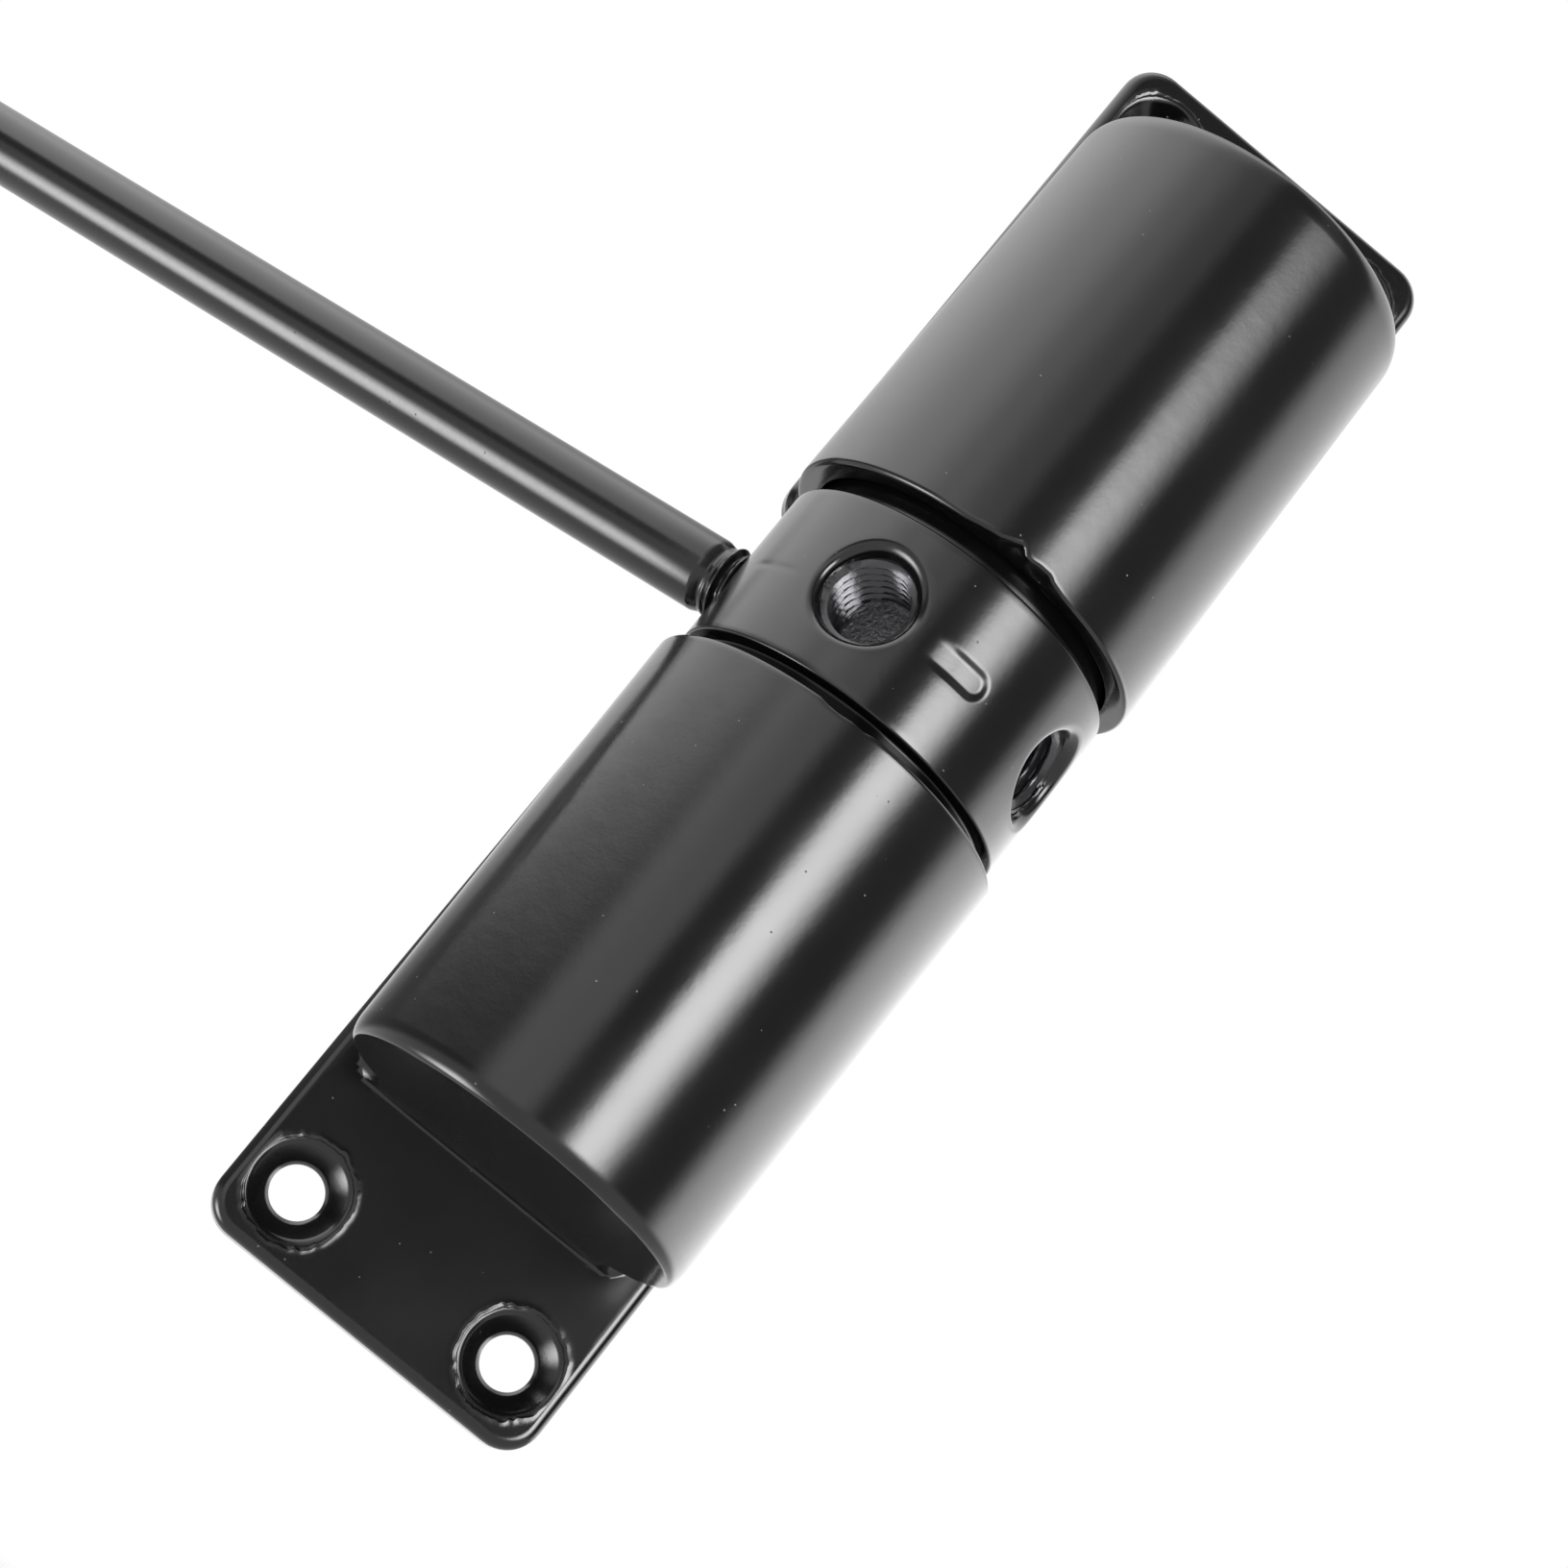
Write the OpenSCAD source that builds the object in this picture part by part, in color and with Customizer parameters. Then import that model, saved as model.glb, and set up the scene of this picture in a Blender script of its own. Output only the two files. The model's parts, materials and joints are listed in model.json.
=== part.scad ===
// Spring door closer: two barrel castings screwed to a door frame, a ring that turns
// between them on a centre shaft, two torsion springs, and a rod with a roller that
// presses on the door. +Z runs up the barrel axis, the fronts face -Y and the mounting
// face is the plane y = 0. The origin is the centre of the four screw holes.

/* [Mounting plates] */
// Width of each plate
plate_w = 40; // [34:0.5:48]
// Height from the lower end of one plate to the upper end of the other
overall_l = 160; // [150:1:190]
// Plate thickness
plate_t = 3.5; // [3:0.25:5]
// Radius of the plate's corners
plate_corner_r = 4; // [2:0.5:6]
// Rounding of the plate's front edges
plate_edge_r = 1.2; // [0.6:0.1:1.6]
// How far the plate ends short of the barrel's mouth
plate_setback = 1.1; // [0.5:0.1:3]
// Distance from a screw hole's axis to the side of its plate
screw_side = 6.7; // [6.4:0.1:8]
// Distance from a screw hole's axis to the end of its plate
screw_end = 7.5; // [7:0.1:9]
// Diameter of a screw hole
screw_d = 5.6; // [4.5:0.1:6]
// Diameter of the countersink at the plate's front
countersink_d = 10.8; // [9:0.1:11.4]

/* [Barrels] */
// Height of the barrel axis above the mounting face
axis_h = 21.5; // [21.3:0.1:26]
// Outer radius of a barrel at its mouth, beside the ring
mouth_r = 20.1; // [19.6:0.1:20.8]
// Outer radius of a barrel at its closed end, less by the casting's draft
end_r = 19.5; // [19:0.1:20]
// Radius of the bore that holds the spring
bore_r = 17.5; // [16.9:0.1:17.9]
// Distance from the middle of the closer to a barrel's mouth
mouth_z = 11.2; // [10.4:0.1:13]
// Distance from the middle of the closer to a barrel's closed end
closed_z = 60; // [56:1:66]
// Thickness of the closed end
end_wall = 6; // [5:0.5:8]
// Rounding of the closed end's rim
rim_r = 1.2; // [0.6:0.1:1.8]
// Rounding of the mouth's outer edge
mouth_edge_r = 0.5; // [0.3:0.1:0.8]
// Radius of the fillet that blends a barrel into its plate
root_fillet_r = 3.5; // [2.5:0.25:4.5]

/* [Arm ring] */
// Outer radius of the ring
ring_r = 18.8; // [18:0.1:19.6]
// Height of the ring between its two outer edges
ring_h = 17.6; // [15:0.2:18.4]
// Rounding of the ring's outer edges
ring_edge_r = 0.8; // [0.4:0.1:1.2]
// Radial gap between the ring's collar and the barrel bore
collar_gap = 0.3; // [0.25:0.05:0.6]
// Wall of the collar that reaches into the barrel
collar_wall = 1.4; // [1:0.1:1.6]
// Height of the collar above the ring's face
collar_h = 5.7; // [4:0.1:8]
// Diameter of the wall of a tapped hole
tapped_d = 6.8; // [6:0.2:7.2]
// Diameter of a tapped hole's rounded mouth
tapped_mouth_d = 10.7; // [9:0.1:11]
// Distance from the shaft's axis to the bottom of a tapped hole
tapped_bottom_r = 9; // [8.5:0.25:11]
// Number of tapped holes round the ring
tapped_count = 4; // [3:1:4]
// Length of the index mark on the ring
mark_l = 6.5; // [4:0.5:9]
// Width of the index mark
mark_w = 2.2; // [1.4:0.2:3]
// Depth of the index mark
mark_depth = 0.35; // [0.2:0.05:0.6]
// Angle from the rod to the index mark
mark_angle = 127.3; // [120:0.1:132]

/* [Shaft and bearings] */
// Diameter of the centre shaft
shaft_d = 8; // [7:0.5:9]
// Depth of the blind seat that holds an end of the shaft
shaft_seat = 4.5; // [3:0.25:4.75]
// Wall of the bronze bushes
bush_wall = 1.95; // [1.2:0.05:2.2]
// Length of each bush
bush_l = 7.5; // [4:0.5:7.5]
// Outer diameter of a thrust washer
thrust_washer_d = 17; // [14:0.5:19]
// Thickness of a thrust washer
thrust_washer_t = 1.2; // [0.8:0.1:1.6]
// Wall of a spacer sleeve
sleeve_wall = 1.9; // [1.2:0.1:2.4]
// Radial clearance of a running fit
running_gap = 0.05; // [0.03:0.01:0.08]
// Radial clearance of a pressed or screwed seat
seat_gap = 0.02; // [0.01:0.01:0.03]
// Gap between faces that slide on each other
face_gap = 0.05; // [0.04:0.01:0.1]

/* [Torsion springs] */
// Diameter of the spring wire
wire_d = 3.6; // [3:0.1:3.8]
// Mean radius of the coil
coil_r = 13.4; // [12.8:0.1:13.5]
// Number of turns in each spring
coil_turns = 8.5; // [7:0.5:8.5]
// Radius of the bend from the coil into each straight leg
leg_bend_r = 2.7; // [2.4:0.1:3.6]
// Depth that a leg reaches into the ring
leg_in_ring = 5; // [4:0.25:7]
// Depth that a leg reaches into the closed end
leg_in_wall = 3.7; // [3.6:0.1:3.9]
// Radial clearance of a leg in its hole
leg_gap = 0.15; // [0.1:0.05:0.25]
// Distance that is kept free beyond the end of each leg and coil
leg_end_gap = 0.3; // [0.2:0.05:0.35]

/* [Arm] */
// Angle of the rod at rest, counted from +X towards the wall
arm_angle = 154.2; // [120:0.1:175]
// Diameter of the rod
rod_d = 8; // [7:0.5:9]
// Distance from the shaft's axis to the shoulder of the rod
rod_shoulder = 22.8; // [21.5:0.1:26]
// Length of the chamfer at the rod's shoulder
rod_chamfer = 0.8; // [0.4:0.1:1.2]
// Distance that the rod's screwed end stays short of the tapped hole's bottom
rod_end_gap = 0.5; // [0.3:0.1:1]
// Distance from the shaft's axis to the roller's axis
arm_l = 185; // [140:1:260]

/* [Roller] */
// Diameter of the roller
roller_d = 22; // [18:0.5:26]
// Width of the roller
roller_w = 10; // [8:0.5:12]
// Depth of the groove round each face of the roller
roller_recess = 1.2; // [0.6:0.1:1.8]
// Wall of the roller's tyre outside the groove
roller_tyre_wall = 1.8; // [1.2:0.1:2.2]
// Rounding of the roller's edges
roller_edge_r = 0.8; // [0.4:0.1:1]
// Diameter of the riveted axle
axle_d = 5; // [4:0.5:6]
// Thickness of the strip that the fork is bent from
fork_t = 2.5; // [2:0.25:3]
// Width of the fork
fork_w = 14; // [12:0.5:16]
// Inner radius of the fork's two bends
fork_bend_r = 1.5; // [1:0.25:2]
// Distance from the roller's edge to the fork's base
fork_clear = 3.5; // [3:0.25:6]
// Diameter of a roller washer
roller_washer_d = 10; // [9:0.5:12]
// Thickness of a roller washer
roller_washer_t = 1; // [0.6:0.1:1.5]
// Diameter of the rod's tenon in the fork
tenon_d = 6; // [5:0.5:6.5]
// Height of the head that the tenon is riveted over to
tenon_head_h = 1.4; // [1:0.1:2]
// How far the tenon's head spreads beyond its hole
tenon_spread = 0.8; // [0.4:0.1:1]
// Diameter of a rivet head
rivet_head_d = 8.4; // [8:0.2:9]
// Height of a rivet head
rivet_head_h = 1.8; // [1.2:0.1:2.2]

/* [Hidden] */
$fn = 64;
eps = 0.01;

// Rounded edges that are hulled or lofted: how many steps a quarter turn has
edge_steps = 4;
arc_points = 48;
fillet_points = 7;
// How far the barrel's root sinks into the plate, so that the two are one casting
root_sink = 0.2;

inner_end_z = closed_z - end_wall;
plate_z0 = mouth_z + plate_setback;
plate_z1 = overall_l / 2;
screw_x = plate_w / 2 - screw_side;
screw_z = plate_z1 - screw_end;
countersink_depth = (countersink_d - screw_d) / 2;

ring_half = ring_h / 2;
collar_r = bore_r - collar_gap;
collar_in_r = collar_r - collar_wall;
tapped_r = tapped_d / 2;
tapped_step = 360 / tapped_count;
mouth_fillet_r = (tapped_mouth_d - tapped_d) / 2;

shaft_r = shaft_d / 2;
shaft_half = inner_end_z + shaft_seat - 2 * face_gap;
bush_in_r = shaft_r + running_gap;
bush_out_r = bush_in_r + bush_wall;
hub_bore_r = bush_out_r + seat_gap;
washer_z = ring_half + face_gap;
sleeve_z = washer_z + thrust_washer_t + face_gap;
sleeve_in_r = shaft_r + 2 * running_gap;

// The springs' legs stand midway between two tapped holes
leg_angle = arm_angle + tapped_step / 2;
leg_r = wire_d / 2;
leg_hole_r = leg_r + leg_gap;
coil_z0 = ring_half + leg_bend_r + leg_end_gap;
coil_z1 = inner_end_z - leg_bend_r - leg_end_gap;
coil_pitch = (coil_z1 - coil_z0) / coil_turns;
coil_rings = 8;
wire_sides = 6;
bend_rings = 3;
// Angle that the wall leg is turned back from the ring leg
coil_sweep = 360 * coil_turns;

rod_r = rod_d / 2;
thread_r = tapped_r - seat_gap;
rod_tip = tapped_bottom_r + rod_end_gap;
axle_r = axle_d / 2;
roller_r = roller_d / 2;
roller_half = roller_w / 2;
washer_gap = 2 * face_gap;
roller_washer_z = roller_half + washer_gap;
fork_half = roller_washer_z + roller_washer_t + washer_gap;
fork_out = fork_half + fork_t;
fork_base = arm_l - roller_r - fork_clear - fork_t;
tenon_r = tenon_d / 2;
tenon_head_r = tenon_r + tenon_spread;
// The roller's hub stands a little wider than the washers that run on it
roller_hub_r = roller_washer_d / 2 + 0.6;

black_paint = [0.06, 0.06, 0.065];
black_rod = [0.08, 0.08, 0.085];
bright_steel = [0.62, 0.63, 0.65];
spring_steel = [0.35, 0.36, 0.38];
bronze = [0.63, 0.47, 0.26];
nylon = [0.88, 0.87, 0.83];

// Corner left between a square corner and its quarter round
module corner_cut(r) {
    difference() {
        translate([-eps, -eps]) square(r + 2 * eps);
        circle(r);
    }
}

// Washer, bush or sleeve that stands on the plane z = 0
module tube(r_out, r_in, h) {
    difference() {
        cylinder(r = r_out, h = h);
        translate([0, 0, -1]) cylinder(r = r_in, h = h + 2);
    }
}

// Barrel section: a circle whose flanks run into the plate through concave fillets.
// inset draws the section in evenly, for the rounded rims.
function fillet_centre(r) =
    let (y = -(plate_t - root_sink) - root_fillet_r)
    [sqrt(pow(r + root_fillet_r, 2) - pow(axis_h + y, 2)), y];
function right_flank(r, inset) =
    let (c = fillet_centre(r),
         fr = root_fillet_r + inset,
         a0 = atan2(-axis_h - c[1], -c[0]) + 360,
         a1 = 180 - asin(root_fillet_r / fr))
    [for (i = [fillet_points - 1 : -1 : 0])
        let (a = a0 + (a1 - a0) * i / (fillet_points - 1))
        [c[0] + fr * cos(a), c[1] + fr * sin(a)]];
function section(r, inset) =
    let (right = right_flank(r, inset),
         c = fillet_centre(r),
         half = atan2(c[0], axis_h + c[1]),
         foot_x = right[0][0],
         foot_y = -plate_t / 2)
    concat([[foot_x, foot_y]],
           right,
           [for (i = [1 : arc_points - 1])
               let (a = 90 - half - (360 - 2 * half) * i / arc_points)
               [(r - inset) * cos(a), -axis_h + (r - inset) * sin(a)]],
           [for (i = [len(right) - 1 : -1 : 0]) [-right[i][0], right[i][1]]],
           [[-foot_x, foot_y]]);

// Heights and insets of the loft's sections, from the mouth to the closed end
function loft_stations() = concat(
    [for (i = [0 : edge_steps / 2])
        let (a = 90 * (1 - i * 2 / edge_steps))
        [mouth_z + mouth_edge_r * (1 - sin(a)), mouth_edge_r * (1 - cos(a))]],
    [for (i = [0 : edge_steps])
        let (a = 90 * i / edge_steps)
        [closed_z - rim_r * (1 - sin(a)), rim_r * (1 - cos(a))]]);
function draft_r(z) =
    mouth_r + (end_r - mouth_r) * (z - mouth_z) / (closed_z - mouth_z);

// End face over a ring of n points, as triangles that zigzag from one flank to the other
function end_face(n) =
    [for (i = [0 : floor((n - 1) / 2) - 1])
        each concat([[i, i + 1, n - 1 - i]],
                    i + 1 < n - 2 - i ? [[i + 1, n - 2 - i, n - 1 - i]] : [])];

// Closed skin over equal rings of points
module skin(rings) {
    n = len(rings[0]);
    m = len(rings);
    polyhedron(
        points = [for (ring = rings) each ring],
        faces = concat(
            [for (t = end_face(n)) [t[2], t[1], t[0]]],
            [for (j = [0 : m - 2]) for (i = [0 : n - 1])
                let (k = (i + 1) % n)
                each [[j * n + i, j * n + k, (j + 1) * n + k],
                      [j * n + i, (j + 1) * n + k, (j + 1) * n + i]]],
            [for (t = end_face(n)) [for (v = t) v + (m - 1) * n]]));
}

module barrel() {
    skin([for (s = loft_stations())
        [for (p = section(draft_r(s[0]), s[1])) [p[0], p[1], s[0]]]]);
}

module plate() {
    hull()
        for (x = [-1, 1], z = [plate_z0 + plate_corner_r, plate_z1 - plate_corner_r],
             i = [0 : edge_steps])
            let (a = 90 * i / edge_steps)
            translate([x * (plate_w / 2 - plate_corner_r), 0, z])
                rotate([90, 0, 0])
                    cylinder(r = plate_corner_r - plate_edge_r * (1 - cos(a)),
                             h = plate_t - plate_edge_r * (1 - sin(a)), $fn = 32);
}

module screw_hole(x, z) {
    translate([x, 0, z]) rotate([90, 0, 0]) {
        translate([0, 0, -1]) cylinder(d = screw_d, h = plate_t + 2);
        translate([0, 0, plate_t - countersink_depth])
            cylinder(d1 = screw_d, d2 = countersink_d + 2, h = countersink_depth + 1);
    }
}

// One casting: plate, tapered barrel, spring bore, shaft seat and spring anchor
module housing() {
    color(black_paint) difference() {
        union() {
            plate();
            barrel();
        }
        for (x = [-1, 1]) screw_hole(x * screw_x, screw_z);
        translate([0, -axis_h, 0]) {
            cylinder(r = bore_r, h = inner_end_z);
            cylinder(r = shaft_r + seat_gap, h = inner_end_z + shaft_seat);
            rotate([0, 0, leg_angle - coil_sweep])
                translate([coil_r, 0, 0])
                    cylinder(r = leg_hole_r, h = inner_end_z + leg_in_wall + leg_end_gap);
        }
    }
}
module lower_housing() { mirror([0, 0, 1]) housing(); }
module upper_housing() { housing(); }

module centre_shaft() {
    color(bright_steel) translate([0, -axis_h, -shaft_half])
        cylinder(r = shaft_r, h = 2 * shaft_half);
}

// Ring profile above its middle plane: hub, rim with a rounded edge, and the collar
module ring_half_profile() {
    difference() {
        union() {
            translate([hub_bore_r, 0]) square([ring_r - hub_bore_r, ring_half]);
            translate([collar_in_r, 0]) square([collar_wall, ring_half + collar_h]);
        }
        translate([ring_r - ring_edge_r, ring_half - ring_edge_r]) corner_cut(ring_edge_r);
    }
}

// Tapped hole along +X with a mouth that is rounded over
module tapped_hole() {
    mouth = [for (i = [0 : edge_steps])
        let (a = 90 * i / edge_steps)
        [tapped_r + mouth_fillet_r * (1 - cos(a)), ring_r - mouth_fillet_r * (1 - sin(a))]];
    rotate([0, 90, 0]) rotate_extrude()
        polygon(concat([[0, tapped_bottom_r], [tapped_r, tapped_bottom_r]], mouth,
                       [[tapped_r + mouth_fillet_r, ring_r + 1], [0, ring_r + 1]]));
}

// Index mark: a shallow slot with round ends, cut square to the rim
module index_mark() {
    translate([ring_r - mark_depth, 0, -1]) rotate([0, 90, 0]) {
        translate([-mark_w / 2, -(mark_l - mark_w) / 2, 0]) cube([mark_w, mark_l - mark_w, 3]);
        for (y = [-1, 1])
            translate([0, y * (mark_l - mark_w) / 2, 0]) cylinder(d = mark_w, h = 3);
    }
}

module arm_ring() {
    color(black_paint) translate([0, -axis_h, 0]) difference() {
        rotate_extrude() {
            ring_half_profile();
            mirror([0, 1]) ring_half_profile();
        }
        for (i = [0 : tapped_count - 1])
            rotate([0, 0, arm_angle + i * tapped_step]) tapped_hole();
        for (side = [0, 1]) mirror([0, 0, side])
            rotate([0, 0, leg_angle]) translate([coil_r, 0, ring_half - leg_in_ring - leg_end_gap])
                cylinder(r = leg_hole_r, h = leg_in_ring + 1);
        rotate([0, 0, arm_angle + mark_angle]) index_mark();
    }
}

// Centreline of a spring on its cylinder, as [angle, height]: a straight leg, a bend,
// the helix, a bend and the other leg. The angle falls as the height grows.
function arc_len(angle) = coil_r * angle * PI / 180;
function bend_angle() = atan2(coil_pitch, arc_len(360));
function spring_path() =
    let (turn = 90 - bend_angle(),
         reach = leg_bend_r * (1 - cos(turn)) * 180 / (PI * coil_r),
         rise = leg_bend_r * sin(turn),
         slope = coil_pitch / 360,
         z_a = coil_z0 + slope * reach,
         z_b = coil_z1 - slope * reach,
         n = round(coil_rings * coil_turns) - 1)
    concat(
        [[0, ring_half - leg_in_ring]],
        [for (i = [0 : bend_rings - 1])
            let (a = turn * i / bend_rings)
            [leg_bend_r * (1 - cos(a)) * 180 / (PI * coil_r), z_a - rise + leg_bend_r * sin(a)]],
        [for (i = [0 : n])
            let (a = reach + (coil_sweep - 2 * reach) * i / n)
            [a, z_a + (z_b - z_a) * i / n]],
        [for (i = [bend_rings - 1 : -1 : 0])
            let (a = turn * i / bend_rings)
            [coil_sweep - leg_bend_r * (1 - cos(a)) * 180 / (PI * coil_r),
             z_b + rise - leg_bend_r * sin(a)]],
        [[coil_sweep, inner_end_z + leg_in_wall]]);
function on_coil(p) = [coil_r * cos(leg_angle - p[0]), coil_r * sin(leg_angle - p[0]), p[1]];
function unit(v) = v / norm(v);

// Rings of the wire: each is square to the path and has one corner pointing outwards
function wire_rings() =
    let (path = spring_path(),
         pts = [for (p = path) on_coil(p)],
         last = len(pts) - 1)
    [for (i = [0 : last])
        let (out = unit([pts[i][0], pts[i][1], 0]),
             raw = (i == 0 || i == last) ? [0, 0, 1]
                 : unit(unit(pts[i + 1] - pts[i]) + unit(pts[i] - pts[i - 1])),
             along = unit(raw - out * (raw * out)),
             side = cross(along, out))
        [for (k = [0 : wire_sides - 1])
            let (a = 360 * k / wire_sides)
            pts[i] + leg_r * (out * cos(a) - side * sin(a))]];

// Least clear distance between one turn of the wire and the next
function least_turn_gap() =
    let (pts = [for (p = spring_path()) on_coil(p)])
    min([for (i = [0 : len(pts) - 1]) for (j = [i + coil_rings / 2 : 1 : len(pts) - 1])
        norm(pts[j] - pts[i])]) - wire_d;
echo(str("Least gap between the turns of a spring: ", least_turn_gap(), " mm"));

module spring() {
    color(spring_steel) translate([0, -axis_h, 0]) skin(wire_rings());
}
module lower_spring() { mirror([0, 0, 1]) spring(); }
module upper_spring() { spring(); }

module bush() {
    color(bronze) translate([0, -axis_h, ring_half - bush_l]) tube(bush_out_r, bush_in_r, bush_l);
}
module lower_bush() { mirror([0, 0, 1]) bush(); }
module upper_bush() { bush(); }

module thrust_washer() {
    color(nylon) translate([0, -axis_h, washer_z])
        tube(thrust_washer_d / 2, sleeve_in_r, thrust_washer_t);
}
module lower_thrust_washer() { mirror([0, 0, 1]) thrust_washer(); }
module upper_thrust_washer() { thrust_washer(); }

module spacer_sleeve() {
    color(bright_steel) translate([0, -axis_h, sleeve_z])
        tube(sleeve_in_r + sleeve_wall, sleeve_in_r, inner_end_z - face_gap - sleeve_z);
}
module lower_spacer_sleeve() { mirror([0, 0, 1]) spacer_sleeve(); }
module upper_spacer_sleeve() { spacer_sleeve(); }

// Places a piece that is drawn along +X from the shaft's axis on the arm at rest
module on_arm() {
    translate([0, -axis_h, 0]) rotate([0, 0, arm_angle]) children();
}
module on_roller_axis() {
    on_arm() translate([arm_l, 0, 0]) children();
}

// Rod: screwed end, chamfered shoulder, shank and the tenon riveted into the fork
module arm_rod() {
    tenon_l = fork_t + 2 * face_gap;
    color(black_rod) on_arm() rotate([0, 90, 0]) {
        translate([0, 0, rod_tip])
            cylinder(r = thread_r, h = rod_shoulder - rod_chamfer - rod_tip);
        translate([0, 0, rod_shoulder - rod_chamfer])
            cylinder(r1 = thread_r, r2 = rod_r, h = rod_chamfer);
        translate([0, 0, rod_shoulder])
            cylinder(r = rod_r, h = fork_base - face_gap - rod_shoulder);
        translate([0, 0, fork_base - face_gap]) cylinder(r = tenon_r, h = tenon_l);
        translate([0, 0, fork_base - face_gap + tenon_l])
            cylinder(r1 = tenon_head_r, r2 = tenon_head_r * 2 / 3, h = tenon_head_h);
    }
}

// Side outline of the fork, with its two bends rounded and its mouth at tip
module fork_profile(half, base, bend_r, tip) {
    difference() {
        translate([base, -half]) square([tip - base, 2 * half]);
        for (side = [0, 1]) mirror([0, side])
            translate([base + bend_r, half - bend_r]) mirror([1, 0]) corner_cut(bend_r);
    }
}

module roller_fork() {
    tip = arm_l + fork_w / 2 + 1;
    color(bright_steel) on_arm() difference() {
        intersection() {
            translate([0, fork_w / 2, 0]) rotate([90, 0, 0]) linear_extrude(fork_w)
                difference() {
                    fork_profile(fork_out, fork_base, fork_bend_r + fork_t, tip);
                    fork_profile(fork_half, fork_base + fork_t, fork_bend_r, tip + 1);
                }
            union() {
                translate([fork_base - 1, -fork_w / 2 - 1, -fork_out - 1])
                    cube([arm_l - fork_base + 1, fork_w + 2, 2 * fork_out + 2]);
                translate([arm_l, 0, -fork_out - 1]) cylinder(d = fork_w, h = 2 * fork_out + 2);
            }
        }
        translate([fork_base - 1, 0, 0]) rotate([0, 90, 0])
            cylinder(r = tenon_r + seat_gap, h = fork_t + 2);
        translate([arm_l, 0, -fork_out - 1])
            cylinder(r = axle_r + seat_gap, h = 2 * fork_out + 2);
    }
}

// Roller: a tyre with rounded edges, a turned groove in each side and a plain hub
module roller() {
    groove_w = roller_r - roller_tyre_wall - roller_hub_r;
    color(nylon) on_roller_axis() rotate_extrude() difference() {
        translate([axle_r + running_gap, -roller_half])
            square([roller_r - axle_r - running_gap, roller_w]);
        for (side = [0, 1]) mirror([0, side]) {
            translate([roller_hub_r, roller_half - roller_recess])
                square([groove_w, roller_recess + 1]);
            translate([roller_r - roller_edge_r, roller_half - roller_edge_r])
                corner_cut(roller_edge_r);
        }
    }
}

module roller_axle() {
    color(bright_steel) on_roller_axis() {
        translate([0, 0, -fork_out]) cylinder(r = axle_r, h = 2 * fork_out);
        for (side = [0, 1]) mirror([0, 0, side]) translate([0, 0, fork_out])
            rotate_extrude() intersection() {
                translate([0, -(rivet_dome_r() - rivet_head_h)]) circle(rivet_dome_r());
                square([rivet_head_d / 2, rivet_head_h]);
            }
    }
}
function rivet_dome_r() =
    (pow(rivet_head_d / 2, 2) + pow(rivet_head_h, 2)) / (2 * rivet_head_h);

module roller_washer() {
    color(bright_steel) on_roller_axis() translate([0, 0, roller_washer_z])
        tube(roller_washer_d / 2, axle_r + 2 * running_gap, roller_washer_t);
}
module lower_roller_washer() { mirror([0, 0, 1]) roller_washer(); }
module upper_roller_washer() { roller_washer(); }

lower_housing();
upper_housing();
centre_shaft();
arm_ring();
lower_spring();
upper_spring();
lower_bush();
upper_bush();
lower_thrust_washer();
upper_thrust_washer();
lower_spacer_sleeve();
upper_spacer_sleeve();
arm_rod();
roller_fork();
roller();
roller_axle();
lower_roller_washer();
upper_roller_washer();
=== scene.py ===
import json
import math

import bmesh
import bpy
import numpy as np
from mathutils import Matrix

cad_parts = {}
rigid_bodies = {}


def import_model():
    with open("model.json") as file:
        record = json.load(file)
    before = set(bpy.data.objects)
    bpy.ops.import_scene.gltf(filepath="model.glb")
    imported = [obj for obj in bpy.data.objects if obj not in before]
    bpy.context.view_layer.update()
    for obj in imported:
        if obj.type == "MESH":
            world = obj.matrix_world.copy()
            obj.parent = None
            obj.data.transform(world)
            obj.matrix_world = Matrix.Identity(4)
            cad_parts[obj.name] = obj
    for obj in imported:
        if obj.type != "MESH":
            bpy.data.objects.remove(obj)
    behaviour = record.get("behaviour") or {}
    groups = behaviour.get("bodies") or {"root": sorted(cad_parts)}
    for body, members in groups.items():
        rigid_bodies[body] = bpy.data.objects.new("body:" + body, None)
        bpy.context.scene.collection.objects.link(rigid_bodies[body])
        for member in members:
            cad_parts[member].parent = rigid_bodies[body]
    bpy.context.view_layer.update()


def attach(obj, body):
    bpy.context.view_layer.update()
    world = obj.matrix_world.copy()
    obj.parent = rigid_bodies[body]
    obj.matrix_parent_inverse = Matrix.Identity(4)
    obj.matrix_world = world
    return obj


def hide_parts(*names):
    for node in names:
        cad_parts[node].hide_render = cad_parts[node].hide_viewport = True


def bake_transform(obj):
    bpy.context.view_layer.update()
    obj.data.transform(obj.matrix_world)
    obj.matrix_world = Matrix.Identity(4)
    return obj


for leftover in list(bpy.data.objects):
    bpy.data.objects.remove(leftover)
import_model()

# Camera. It looks at the closer's front from a little below its middle, on a longish
# lens, and is rolled so that the barrels run from the lower left to the upper right.
PHOTO_SIDE = 1632
FOCAL_PIXELS = 3841.4
SENSOR = 36.0
CAMERA_METRES = (-0.018609, -0.365656, -0.111578)
CAMERA_DEGREES = (109.8515, -37.1075, -15.0203)

lens = bpy.data.cameras.new("camera")
lens.sensor_width = SENSOR
lens.lens = SENSOR * FOCAL_PIXELS / PHOTO_SIDE
camera = bpy.data.objects.new("camera", lens)
camera.location = CAMERA_METRES
camera.rotation_euler = [math.radians(turn) for turn in CAMERA_DEGREES]
bpy.context.scene.collection.objects.link(camera)
bpy.context.scene.camera = camera
bpy.context.scene.view_settings.view_transform = "Standard"

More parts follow.
